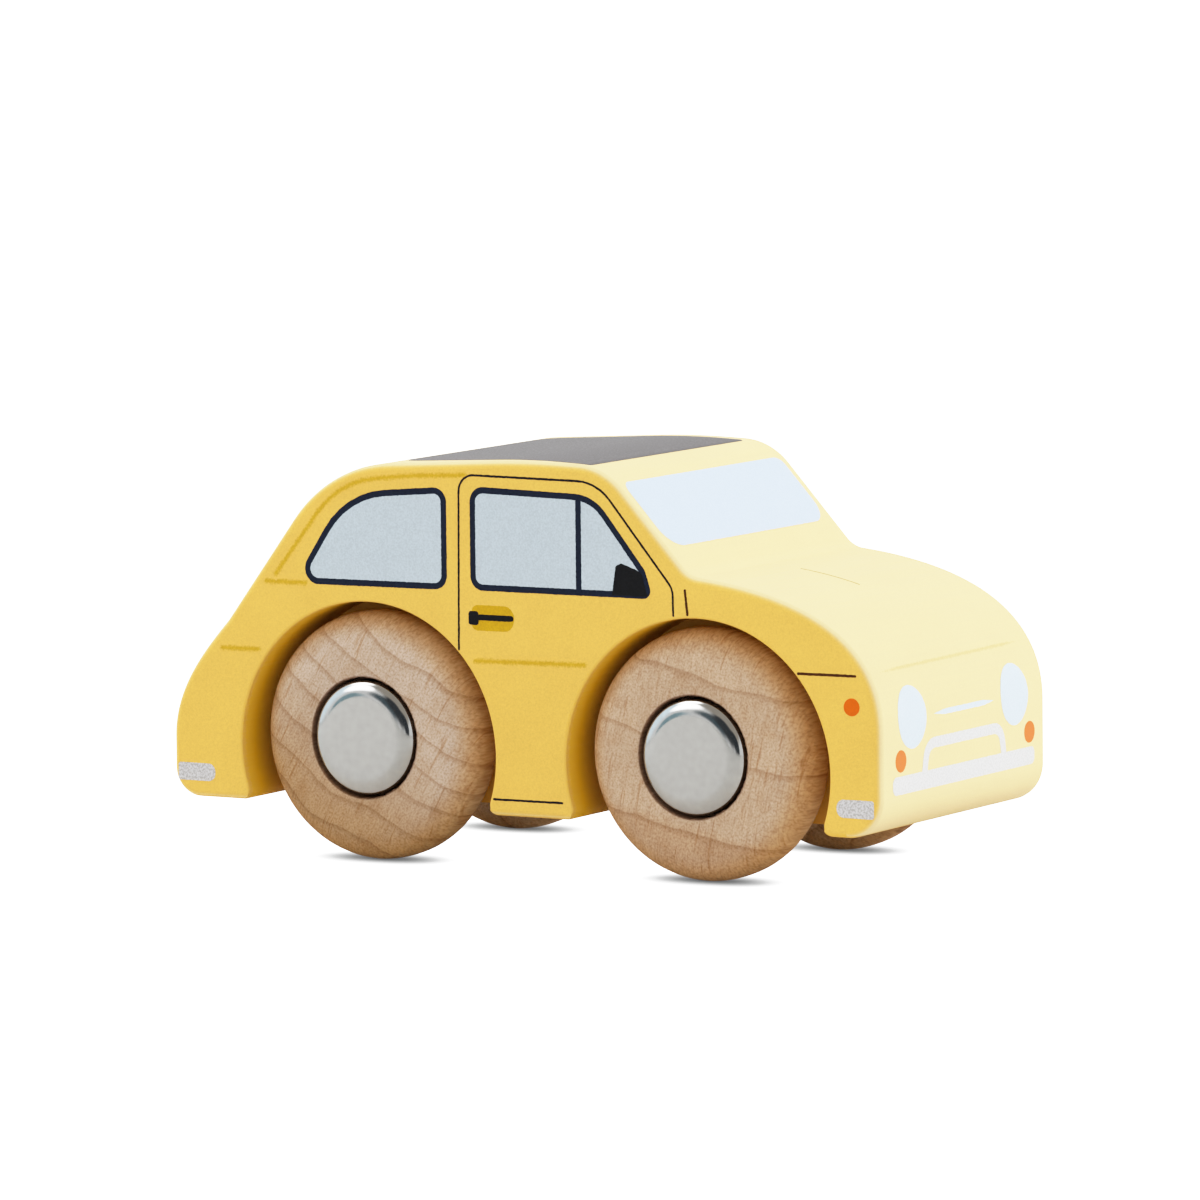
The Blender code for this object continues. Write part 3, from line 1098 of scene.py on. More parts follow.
@dataclass
class Press:
    """The print press: it cuts plates of ink and lays them on a surface."""

    surface: Surface
    sunk: float = 0.05
    edge: float = 0.035
    strip_rows: int = 6
    strip_steps: int = 4
    strip_fade: int = 2

    def plate(self, name: str, outline: Points, layer: Layer) -> Workpiece:
        """A closed plate of ink in the shape of an outline.

        Args:
            name: Name of the piece.
            outline: The flat shape.
            layer: How high it stands on the paint.

        Returns:
            The plate, laid on the surface.
        """
        rough = roughened(outline, self.edge)
        heights = [point.y for point in rough]
        piece = Workpiece.disc(name, [Vector((point.x, point.y, -self.sunk)) for point in rough])
        piece.score(self.surface.folds(min(heights), max(heights)))
        piece.thicken(self.sunk + layer.value)
        return piece.shape(self.surface.place).tidied()

    def strip(self, name: str, path: Points, width: float, layer: Layer, pitch: float = 0.6) -> Workpiece:
        """A strip along a path that knows how far each point lies from its middle.

        Args:
            name: Name of the piece.
            path: The strip's middle.
            width: Its full width.
            layer: How high it stands on the paint.
            pitch: Step along the path.

        Returns:
            The strip, laid on the surface.
        """
        runs = [0.0]
        for before, point in zip(path, path[1:]):
            runs.append(runs[-1] + (point - before).length)
        steps = max(self.strip_steps, round(runs[-1] / pitch))
        piece = Workpiece.sheet(name, steps, self.strip_rows)

        def along(share: float) -> tuple[Vector, Vector]:
            """The middle of the strip and its direction at a share of its length.

            Args:
                share: The share, from 0 to 1.

            Returns:
                The place and the unit direction.
            """
            run = share * runs[-1]
            index = min(max(bisect_right(runs, run) - 1, 0), len(runs) - 2)
            step = path[index + 1] - path[index]
            return path[index] + step * ((run - runs[index]) / step.length), step.normalized()

        across = piece.obj.data.attributes.new("across", "FLOAT", "POINT")
        for vertex, value in zip(piece.obj.data.vertices, across.data):
            middle, way = along((vertex.co.x + 1) / 2)
            ends = max(0.0, abs(vertex.co.x) * steps - steps + self.strip_fade) / self.strip_fade
            value.value = max(abs(vertex.co.y), ends)
            spot = middle + Vector((-way.y, way.x)) * vertex.co.y * width / 2
            vertex.co = (spot.x, spot.y, -self.sunk)
        piece.thicken(self.sunk + layer.value)
        return piece.shape(self.surface.place).tidied()


# The block


@dataclass
class BodyProfile:
    """The block's side view. The skin lies a hair inside the CAD block, which leaves room for the ink."""

    skin_depth: float = 0.04
    nose: float = 45.5
    tail: float = -45.5
    floor: float = 6.2
    nose_foot_radius: float = 4.4
    tail_foot_radius: float = 3.3
    nose_top: float = 17.8
    nose_handle: float = 8.6
    scuttle: tuple[float, float] = (21.6, 33.94)
    scuttle_radius: float = 3.2
    bonnet_slope: float = math.radians(6.0)
    bonnet_handle: float = 17.0
    screen_rake: float = math.radians(47.6)
    screen_roof_radius: float = 8.0
    crown: tuple[float, float] = (1.0, 45.90)
    crown_radius: float = 105.0
    fall_front: float = math.radians(2.0)
    fall_back: float = math.radians(3.1)
    back_roof_radius: float = 17.0
    back_foot: tuple[float, float] = (-38.2, 26.5)
    back_rake: float = math.radians(52.9)
    tail_rake: float = math.radians(47.0)
    tail_handle: float = 5.0
    tail_top: float = 13.0
    tail_flat_handle: float = 5.5
    curve_steps: int = 32
    turn: float = math.radians(3.0)
    crown_turn: float = math.radians(0.5)

    def __post_init__(self) -> None:
        """Draws the outline and the skin from nose to tail."""
        up = Vector((0.0, 1.0))
        tail_foot, nose_foot = Vector((self.tail, self.floor)), Vector((self.nose, self.floor))
        nose_top, tail_top = Vector((self.nose, self.nose_top)), Vector((self.tail, self.tail_top))
        scuttle, crown, back_foot = Vector(self.scuttle), Vector(self.crown), Vector(self.back_foot)
        screen_top = meet(scuttle, heading(math.pi - self.screen_rake), crown, heading(-self.fall_front))
        back_top = meet(crown, heading(math.pi + self.fall_back), back_foot, heading(self.back_rake))
        handle = scuttle + heading(-self.bonnet_slope) * self.bonnet_handle
        valley = rounded_corner(handle, scuttle, screen_top, self.scuttle_radius, self.turn)

        foot = rounded_corner(tail_top, tail_foot, nose_foot, self.tail_foot_radius, self.turn)
        foot += rounded_corner(tail_foot, nose_foot, nose_top, self.nose_foot_radius, self.turn)
        over = self._curve(nose_top, nose_top + up * self.nose_handle, handle, valley[0])
        over += valley
        over += rounded_corner(scuttle, screen_top, crown, self.screen_roof_radius, self.turn)
        over += rounded_corner(screen_top, crown, back_top, self.crown_radius, self.crown_turn)
        over += rounded_corner(crown, back_top, back_foot, self.back_roof_radius, self.turn)
        leaving = back_foot + heading(math.pi + self.tail_rake) * self.tail_handle
        over += self._curve(back_foot, leaving, tail_top + up * self.tail_flat_handle, tail_top)
        over = [point for point, before in zip(over, [foot[-1], *over]) if (point - before).length > HAIR]
        self.points = self._sunk(foot + over)
        first = len(foot) - 1
        self.skin = WrapFace(self.points[first:] + self.points[:1], self.points[first].y - self.floor)

    def _curve(self, start: Vector, start_handle: Vector, end_handle: Vector, end: Vector) -> list[Vector]:
        """A curve that leaves and arrives along its handles."""
        return interpolate_bezier(start, start_handle, end_handle, end, self.curve_steps + 1)

    def _sunk(self, points: Points) -> list[Vector]:
        """The outline moved in by the skin's depth.

        Args:
            points: The outline, counter-clockwise.

        Returns:
            The moved points.
        """
        moved = []
        for index, point in enumerate(points):
            along = (points[(index + 1) % len(points)] - points[index - 1]).normalized()
            moved.append(point + Vector((-along.y, along.x)) * self.skin_depth)
        return moved


@dataclass
class BodyBlock:
    """The sawn block with eased edges, four wheel pockets and two axle bores."""

    profile: BodyProfile
    half_width: float = 19.25
    edge_radius: float = 0.8
    edge_segments: int = 5
    arch_ease: float = 0.3
    arch_segments: int = 3
    pocket_radius: float = 16.6
    pocket_floor: float = 9.55
    pocket_height: float = 12.74
    pocket_lead: float = 0.74
    lip_radius: float = 1.2
    lip_runout: float = math.radians(18.0)
    lip_steps: int = 8
    bore_radius: float = 2.3
    margin: float = 2.0
    pocket_steps: int = 96
    floor_reach: float = 0.1
    side_reach: float = 0.02
    underside: float = -0.98

    def axle(self, end: End) -> Vector:
        """The middle of an axle, in millimetres."""
        low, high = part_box(f"{end.value}_axle")
        return (low + high) / 2 / MM

    def _pocket_outline(self) -> list[Vector]:
        """A pocket's opening about its own centre, with a rounded lip where it leaves the underside."""
        floor = self.profile.floor - self.pocket_height
        lip_height = floor + self.lip_radius
        reach = self.pocket_radius + self.lip_radius
        lip = Vector((math.sqrt(reach**2 - lip_height**2), lip_height))
        touch = math.atan2(lip.y, lip.x)
        runout = arc(lip, self.lip_radius, touch + math.pi, 1.5 * math.pi - self.lip_runout, self.lip_steps)
        below = Vector((0.0, floor - self.margin))
        outlet = meet(runout[-1], heading(-self.lip_runout), below, heading(0.0))
        right = [outlet, *runout[:0:-1]]
        left = [Vector((-point.x, point.y)) for point in reversed(right)]
        bowl = arc(Vector((0.0, 0.0)), self.pocket_radius, touch, math.pi - touch, self.pocket_steps)
        return right + bowl + left

    def _prism(self, name: str, outline: Points, low: float, high: float) -> Workpiece:
        """An outline of the side view carried across the car."""
        piece = Workpiece.disc(name, [Vector((point.x, low, point.y)) * MM for point in outline])
        return piece.extrude(lambda face: True, Vector((0.0, high - low, 0.0)) * MM).tidied()

    def _is_rim(self, edge: bmesh.types.BMEdge) -> bool:
        """Whether an edge runs round one of the block's two sides."""
        first, second = (vert.co.y for vert in edge.verts)
        return abs(first - second) < NEAR and abs(abs(first) - self.half_width * MM) < NEAR

    def _is_arch(self, edge: bmesh.types.BMEdge) -> bool:
        """Whether an edge runs round a pocket's opening in the side."""
        inner = self._is_rim(edge) and not edge.is_boundary
        return inner and any(abs(face.normal.y) < 0.5 for face in edge.link_faces)

    def model(self) -> Workpiece:
        """The block with everything cut out of it."""
        block = self._prism("body_block", self.profile.points, -self.half_width, self.half_width)
        block.bevel(self._is_rim, self.edge_radius * MM, self.edge_segments)
        pocket = self._pocket_outline()
        for end in End:
            axle = self.axle(end)
            centre = Vector((axle.x + self.pocket_lead, self.pocket_height))
            outline = [point + centre for point in pocket]
            for side in Side:
                reach = sorted((side.value * self.pocket_floor, side.value * (self.half_width + self.margin)))
                block.cut(self._prism("pocket_tool", outline, *reach))
            bore = circle(axle.x, axle.z, self.bore_radius)
            reach = self.pocket_floor + self.margin
            block.cut(self._prism("bore_tool", bore, -reach, reach))
        block.bevel(self._is_arch, self.arch_ease * MM, self.arch_segments)
        return block.tidied().weighted()

    def _in_pocket(self, polygon: bpy.types.MeshPolygon) -> bool:
        """Whether a face is part of a pocket's wall, lip or floor.

        Args:
            polygon: The face.

        Returns:
            Whether it is.
        """
        spot = polygon.center / MM
        if not self.pocket_floor - self.floor_reach < abs(spot.y) < self.half_width - self.side_reach:
            return False
        for end in End:
            run = spot.x - self.axle(end).x - self.pocket_lead
            in_bowl = math.hypot(run, spot.z - self.pocket_height) < self.pocket_radius + self.arch_ease
            on_lip = abs(run) < self.pocket_radius + self.lip_radius and polygon.normal.z > self.underside
            if in_bowl or (on_lip and spot.z < self.profile.floor + 2 * self.lip_radius):
                return True
        return False

    def build(self) -> None:
        """Models and dresses the block."""
        block = self.model().dressed(PAINT, "body", "painted_wood", "body")
        mesh = block.obj.data
        # The pocket faces take the paint with its painted shade.
        mesh.materials.append(POCKET_SHADED_PAINT.material())
        for polygon in mesh.polygons:
            polygon.material_index = int(self._in_pocket(polygon))


# Print


@dataclass
class SidePrints:
    """Windows, door, lines and bumper ends on both sides. The right is made, and the left is its mirror."""

    half_width: float
    frame: float = 0.7
    line: float = 0.25
    bold_line: float = 0.3
    rear_window: Outline = drawn(
        (-29.05, 31.05, 1.75), (-9.05, 31.15, 1.6), (-9.05, 42.62, 1.6), (-22.24, 41.55, 10.4)
    )
    door_window: Outline = drawn(
        (-6.0, 31.25, 1.6), (17.3, 31.25, 0.9), (16.3, 34.35, 0.8), (9.86, 42.42, 5.3), (-6.0, 42.8, 1.7)
    )
    divider: Outline = panel(7.55, 31.7, 8.25, 42.1)
    mirror: Outline = drawn(
        (12.1, 31.5), (16.6, 31.5), (15.9, 34.0), (15.2, 34.4, 0.2), (13.3, 35.05, 0.3), (12.6, 34.7, 0.3)
    )
    door: Outline = drawn(
        (-7.6, 24.6), (-7.4, 44.05, 1.9), (10.3, 43.85, 5.45), (19.75, 32.5, 2.0), (19.82, 29.55)
    )
    pull: Outline = drawn((-5.6, 28.28), (-0.82, 28.28))
    pull_width: float = 0.65
    knob: Outline = panel(-6.3, 27.4, -5.0, 28.95, 0.35)
    recess: Outline = panel(-5.9, 26.8, -0.45, 29.65, 0.8, 1.3)
    crease_width: float = 1.1
    drip: Outline = drawn((-6.0, 44.02), (-13.5, 43.68, 15.0), (-23.0, 42.75, 14.0), (-31.85, 31.55))
    waist: Outline = drawn((-33.4, 31.15), (-27.0, 31.15))
    tail_crease: Outline = drawn((-39.3, 23.35), (-33.3, 23.4))
    door_crease: Outline = drawn((-6.1, 23.4), (9.1, 23.6))
    sill: Outline = drawn((-3.3, 8.1), (5.5, 8.15))
    wing: Outline = drawn((35.4, 23.95), (42.4, 24.0))
    scuttle: Outline = drawn((21.3, 32.4), (21.6, 29.75))
    indicator: tuple[float, float, float] = (41.95, 20.6, 0.98)
    bumper_front: Outline = panel(40.0, 8.5, 44.6, 10.5, 0.9, 0.3)
    bumper_rear: Outline = panel(-44.8, 8.1, -39.9, 10.1, 0.3, 0.9)

    def __post_init__(self) -> None:
        """Sets up the press on the right side."""
        self.press = Press(SideFace(self.half_width))

    def _both(self, piece: Workpiece, finish: Finish) -> None:
        """Dresses a piece of the right side and its mirror on the left.

        Args:
            piece: The piece, under the name that both share.
            finish: What its surface is.
        """
        name = piece.obj.name
        double = piece.mirrored(f"{name}_{Side.LEFT.word}")
        piece.obj.name = piece.obj.data.name = f"{name}_{Side.RIGHT.word}"
        piece.dressed(finish, "body")
        double.dressed(finish, "body")

    def _shape(self, name: str, outline: Points, layer: Layer, finish: Finish) -> None:
        """Prints a filled outline on both sides."""
        self._both(self.press.plate(name, outline, layer), finish)

    def _window(self, name: str, corners: Outline) -> None:
        """Prints a window: a dark backing that shows as its frame, and the pale glass on it.

        Args:
            name: Name of the window.
            corners: Its outer corners.
        """
        self._shape(f"{name}_frame", closed_outline(corners), Layer.BACKING, NAVY)
        glass = closed_outline(inset_corners(corners, self.frame))
        self._shape(f"{name}_glass", glass, Layer.INK, SIDE_GLASS)

    def _line(
        self, name: str, path: Outline, width: float, finish: Finish, layer: Layer = Layer.LINE
    ) -> None:
        """Prints a thin line."""
        self._shape(name, stroke(open_path(path), width), layer, finish)

    def _crease(self, name: str, path: Outline, layer: Layer = Layer.SHADE) -> None:
        """Prints a soft shade along a path."""
        self._both(self.press.strip(name, open_path(path), self.crease_width, layer), CREASE)

    def build(self) -> None:
        """Prints everything on both sides."""
        self._window("rear_window", self.rear_window)
        self._window("door_window", self.door_window)
        self._shape("door_window_divider", closed_outline(self.divider), Layer.OVERPRINT, NAVY)
        self._shape("door_mirror", closed_outline(self.mirror), Layer.OVERPRINT, BLACK)
        self._line("door_line", self.door, self.line, BLACK)
        self._line("scuttle_line", self.scuttle, self.bold_line, BROWN)
        self._line("sill_line", self.sill, self.line, BLACK)
        self._line("wing_line", self.wing, self.bold_line, BROWN)
        self._shape("handle_recess", closed_outline(self.recess), Layer.SHADE, MUSTARD)
        self._shape("handle_knob", closed_outline(self.knob), Layer.INK, BLACK)
        self._line("handle_pull", self.pull, self.pull_width, BLACK, Layer.BACKING)
        self._crease("drip_crease", self.drip, Layer.FADE)
        self._crease("waist_crease", self.waist)
        self._crease("tail_crease", self.tail_crease)
        self._crease("door_crease", self.door_crease)
        self._shape("indicator", circle(*self.indicator), Layer.INK, ORANGE)
        self._shape("bumper_end_front", closed_outline(self.bumper_front), Layer.INK, SILVER)
        self._shape("bumper_end_rear", closed_outline(self.bumper_rear), Layer.INK, SILVER)


@dataclass
class WrapPrints:
    """Print on the nose, windscreen, roof and back. Places are given across the car and along the skin."""

    skin: WrapFace
    lamp: tuple[float, float, float, float] = (11.9, 12.8, 3.2, 1.09)
    signals: tuple[tuple[float, float, float], ...] = ((-14.65, 8.2, 1.22), (15.35, 8.2, 1.22))
    bumper: Outline = panel(-16.5, 4.55, 16.5, 6.55, 0.8)
    hoop: Outline = drawn((-9.25, 6.3), (-8.6, 9.45, 2.4), (8.6, 9.45, 2.4), (9.25, 6.3))
    hoop_width: float = 1.2
    trim: Outline = drawn((-7.0, 12.6), (-4.5, 12.3), (4.5, 12.3), (7.0, 12.6), (4.5, 12.9), (-4.5, 12.9))
    seam: Outline = drawn((-18.4, 18.3), (18.0, 18.55))
    seam_width: float = 0.8
    seam_pitch: float = 6.0
    screen: Outline = drawn((-17.6, 47.4, 2.8), (17.6, 47.4, 2.8), (17.6, 56.7, 1.3), (-17.6, 56.7, 1.3))
    bonnet_line: Outline = drawn((-1.5, 39.0), (-0.7, 32.0))
    bonnet_line_width: float = 0.2
    roof: Outline = drawn((-17.9, 61.0, 0.5), (16.5, 61.0, 0.5), (16.3, 87.0, 2.5), (-15.2, 87.0, 2.5))
    back_window: Outline = panel(-13.0, 100.5, 13.0, 110.5, 3.2)
    boot: Outline = drawn((-13.5, 128.0), (-11.5, 116.0, 4.0), (11.5, 116.0, 4.0), (13.5, 128.0))
    boot_width: float = 0.25
    back_lamp: Outline = panel(14.7, 121.5, 16.5, 126.0, 0.8)
    back_bumper: Outline = panel(-16.5, 132.2, 16.5, 134.2, 0.8)

    def __post_init__(self) -> None:
        """Sets up the press on the skin."""
        self.press = Press(self.skin)

    def _shape(self, name: str, outline: Points, layer: Layer, finish: Finish) -> None:
        """Prints a filled outline."""
        self.press.plate(name, outline, layer).dressed(finish, "body")

    def _line(self, name: str, path: Outline, width: float, layer: Layer, finish: Finish) -> None:
        """Prints a line."""
        self._shape(name, stroke(open_path(path), width), layer, finish)

    def _pair(self, name: str, outline: Points, finish: Finish) -> None:
        """Prints an outline of the left half and its mirror.

        Args:
            name: The name that both share.
            outline: The flat shape on the left.
            finish: The ink.
        """
        piece = self.press.plate(f"{name}_{Side.LEFT.word}", outline, Layer.INK)
        piece.mirrored(f"{name}_{Side.RIGHT.word}").dressed(finish, "body")
        piece.dressed(finish, "body")

    def build(self) -> None:
        """Prints everything between nose and tail."""
        self._pair("headlight", circle(*self.lamp), LAMP_GLASS)
        for side, lamp in zip((Side.RIGHT, Side.LEFT), self.signals):
            self._shape(f"signal_lamp_{side.word}", circle(*lamp), Layer.INK, AMBER)
        self._shape("front_bumper", closed_outline(self.bumper), Layer.INK, PALE_SILVER)
        self._line("front_hoop", self.hoop, self.hoop_width, Layer.BACKING, PALE_SILVER)
        self._shape("front_trim", closed_outline(self.trim), Layer.INK, LAMP_GLASS)
        path = open_path(self.seam)
        seam = self.press.strip("nose_seam", path, self.seam_width, Layer.SHADE, self.seam_pitch)
        seam.dressed(SEAM, "body")
        self._shape("windscreen", closed_outline(self.screen), Layer.INK, SCREEN_GLASS)
        self._line("bonnet_line", self.bonnet_line, self.bonnet_line_width, Layer.LINE, OLIVE)
        self._shape("roof_panel", closed_outline(self.roof), Layer.INK, CHARCOAL)
        self._shape("back_window", closed_outline(self.back_window), Layer.INK, SIDE_GLASS)
        self._line("boot_line", self.boot, self.boot_width, Layer.LINE, BLACK)
        self._pair("back_lamp", closed_outline(self.back_lamp), RED)
        self._shape("back_bumper", closed_outline(self.back_bumper), Layer.INK, PALE_SILVER)


# Running gear


def middle_facing(way: int) -> Test:
    """A test for the face in the middle of a turned piece's upper or lower end.

    Args:
        way: 1 for the upper end, -1 for the lower.

    Returns:
        The test.
    """

    def is_middle(face: bmesh.types.BMFace) -> bool:
        """Whether a face looks that way and lies about the piece's own axis."""
        return face.normal.z * way > FACING and face.calc_center_median().xy.length < NEAR

    return is_middle


@dataclass
class Wheel:
    """A turned wheel: well rounded rim, flat face with a counterbore, plain bore."""

    tread: float = 0.8
    counterbore: float = 6.80
    counterbore_depth: float = 3.4
    bore: float = 2.3
    ease: float = 0.10
    ease_segments: int = 2
    chip: float = 0.13
    chip_waves: float = 2.2
    steps: int = 128
    rim_segments: int = 12

    def model(self, radius: float, width: float) -> Workpiece:
        """A wheel about Z with its face upwards.

        Args:
            radius: Radius of the tread.
            width: Width from back to face.

        Returns:
            The wheel, standing on the origin.
        """
        rim = (width - self.tread) / 2
        face = radius - rim
        wheel = Workpiece.rod("wheel", radius * MM, width * MM, self.steps)
        wheel.bevel(lambda edge: edge.calc_face_angle(0.0) > SHARP_TURNED, rim * MM, self.rim_segments)
        on_face, on_back = middle_facing(1), middle_facing(-1)
        wheel.inset(on_face, (face - self.counterbore) * MM)
        wheel.extrude(on_face, Vector((0.0, 0.0, -self.counterbore_depth)) * MM)
        wheel.inset(on_face, (self.counterbore - self.bore) * MM)
        wheel.inset(on_back, (face - self.bore) * MM)
        wheel.bridge(lambda element: on_face(element) or on_back(element))
        mouth = self.counterbore * MM

        def on_lip(edge: bmesh.types.BMEdge) -> bool:
            """Whether an edge runs round the mouth of the counterbore."""
            gaps = [(vert.co.xy.length - mouth, vert.co.z - width * MM) for vert in edge.verts]
            return all(abs(gap) < NEAR for pair in gaps for gap in pair)

        def chipped(place: Vector) -> Vector:
            """A place on the mouth of the counterbore with its grain torn a little by the tool.

            Args:
                place: A place on the wheel.

            Returns:
                The place, moved in or out where it lies on the mouth.
            """
            reach = place.xy.length / MM
            if reach > self.counterbore + 2 * self.ease or place.z / MM < width - 2 * self.ease:
                return place
            swell = 1 + self.chip / reach * noise.noise(place / MM * self.chip_waves)
            return Vector((place.x * swell, place.y * swell, place.z))

        wheel.bevel(on_lip, self.ease * MM, self.ease_segments)
        return wheel.shape(chipped).tidied(SHARP_TURNED)


@dataclass
class HubCap:
    """A drawn cap: flat face, rounded shoulder, straight skirt and a lip turned in at its foot."""

    shoulder: float = 2.0
    drop: float = 1.1
    plating: float = 0.1
    wall: float = 0.5
    lip: float = 0.8
    steps: int = 96
    segments: int = 16

    def model(self, radius: float, height: float) -> Workpiece:
        """A cap about Z with its face upwards.

        Args:
            radius: Radius of the skirt.
            height: Height from foot to face.

        Returns:
            The cap, standing on the origin.
        """
        top, deepest, fall = height * MM, self.shoulder * MM + NEAR, self.drop / self.shoulder
        cap = Workpiece.rod("hub_cap", (radius + self.plating) * MM, top, self.steps)

        def on_shoulder(edge: bmesh.types.BMEdge) -> bool:
            """Whether an edge runs round the face."""
            return all(vert.co.z > top - NEAR for vert in edge.verts)

        def pressed(place: Vector) -> Vector:
            """A place on the shoulder pressed flat, so that the shoulder falls less than it reaches in."""
            depth = top - place.z
            return place if depth > deepest else Vector((place.x, place.y, top - depth * fall))

        cap.bevel(on_shoulder, self.shoulder * MM, self.segments)
        cap.shape(pressed)
        on_foot = middle_facing(-1)
        cap.inset(on_foot, (self.wall + self.lip) * MM)
        cap.extrude(on_foot, Vector((0.0, 0.0, self.wall)) * MM)
        cap.extrude(on_foot, Vector((0.0, 0.0, height - self.drop - self.wall)) * MM)
        return cap.tidied(SHARP_TURNED)


@dataclass
class RunningGear:
    """Both axles with their wheels and caps, and the hardware that is hidden in them."""

    wheel: Wheel = field(default_factory=Wheel)
    cap: HubCap = field(default_factory=HubCap)
    grain: dict[str, Grain] = field(
        default_factory=lambda: {
            "front_right": Grain(math.radians(-13.0), 2.0, 8.6, -8.4, 0.8),
            # On this wheel the wood below the heart line is darker and browner, and the rest lighter and
            # pinker.
            "rear_right": Grain(
                math.radians(-29.0), 9.0, 3.5, -4.0, 7.0, (1.03, 1.10, 1.24), (0.78, 0.68, 0.48)
            ),
            # Painted light: on the two left wheels the colour beyond the heart line is brightened and blued
            # as fill light in their shade.
            "front_left": Grain(math.radians(52.0), 17.0, tint=(1.05, 1.09, 1.22)),
            "rear_left": Grain(math.radians(-71.0), 23.0, 5.0, tint=(1.05, 1.09, 1.22)),
        }
    )

    @staticmethod
    def _spread(node: str) -> tuple[Vector, Vector]:
        """The middle and the size of a CAD node, in millimetres."""
        low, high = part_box(node)
        return (low + high) / 2 / MM, (high - low) / MM

    def _seat(self, piece: Workpiece, node: str, side: Side) -> Workpiece:
        """Turns a piece that stands on Z to face its side, and puts it where its CAD node is.

        Args:
            piece: The piece.
            node: The CAD node.
            side: The side that the piece faces.

        Returns:
            The same piece.
        """
        middle, size = self._spread(node)
        foot = Vector((middle.x, middle.y - side.value * size.y / 2, middle.z)) * MM
        out = Vector((0.0, side.value, 0.0))
        return piece.placed(foot, Vector((0.0, 0.0, 1.0)).rotation_difference(out))

    def build(self) -> None:
        """Models one wheel and one cap, copies them to the four corners and dresses everything."""
        _, size = self._spread("wheel_front_right")
        wheel = self.wheel.model(size.x / 2, size.y)
        _, size = self._spread("hub_cap_front_right")
        cap = self.cap.model(size.x / 2, size.y)
        for end in End:
            for side in Side:
                corner = f"{end.value}_{side.word}"
                middle, _ = self._spread(f"wheel_{corner}")
                beech = TurnedBeech(f"beech_{corner}", self.grain[corner], tuple(middle * MM))
                piece = self._seat(wheel.copied(f"turned_wheel_{corner}"), f"wheel_{corner}", side)
                piece.dressed(beech, f"wheel_{corner}", "wheel_beech", f"wheel_{corner}")
                piece = self._seat(cap.copied(f"push_cap_{corner}"), f"hub_cap_{corner}", side)
                piece.dressed(BRIGHT_STEEL, f"{end.value}_axle", "cap_steel", f"hub_cap_{corner}")
        for pattern in (wheel, cap):
            bpy.data.objects.remove(pattern.obj)
        self._dress_hidden()

    @staticmethod
    def _dress_hidden() -> None:
        """Gives the CAD nodes that stay their finishes."""
        finishes = {"axle": DRAWN_STEEL, "retaining_ring": SPRING_STEEL, "spacer_washer": NYLON}
        for name, node in frame["nodes"].items():
            for word, finish in finishes.items():
                if word in name:
                    node.data.materials.clear()
                    node.data.materials.append(finish.material())
                    LOG.info("%s: CAD node in %s", name, finish.name)


# Studio


@dataclass
class SoftLight:
    """A square soft light aimed at the car."""

    name: str
    place: tuple[float, float, float]
    size: float
    power: float
    aim: tuple[float, float, float] = (0.0, 0.0, 0.02)

    def build(self) -> None:
        """Adds the light."""
        turn = (Vector(self.aim) - Vector(self.place)).to_track_quat("-Z", "Y").to_euler()
        bpy.ops.object.light_add(type="AREA", location=self.place, rotation=turn)
        light = bpy.context.active_object
        light.name = self.name
        light.data.size = self.size
        light.data.energy = self.power
        light.visible_glossy = False
        LOG.info("%s: %.1f W", self.name, self.power)


@dataclass(frozen=True)
class SkyPatch:
    """A soft round patch in the light from all round, with the reach of its core and edge in degrees."""

    way: Colour
    core: float
    edge: float
    colour: Colour

    def laid_over(self, nodes: Nodes, below: object) -> Socket:
        """Lays the patch over the light below it.

        Args:
            nodes: The world's nodes.
            below: The light below the patch, as a colour or a socket.

        Returns:
            The light with the patch in it.
        """
        way = nodes.add("TexCoord", {}).outputs["Generated"]
        aim = nodes.add("VectorMath", {0: way, 1: Vector(self.way).normalized()}, operation="DOT_PRODUCT")
        edge, core = (math.cos(math.radians(reach)) for reach in (self.edge, self.core))
        return nodes.mix(nodes.span(aim.outputs["Value"], edge, core), below, (*self.colour, 1.0))


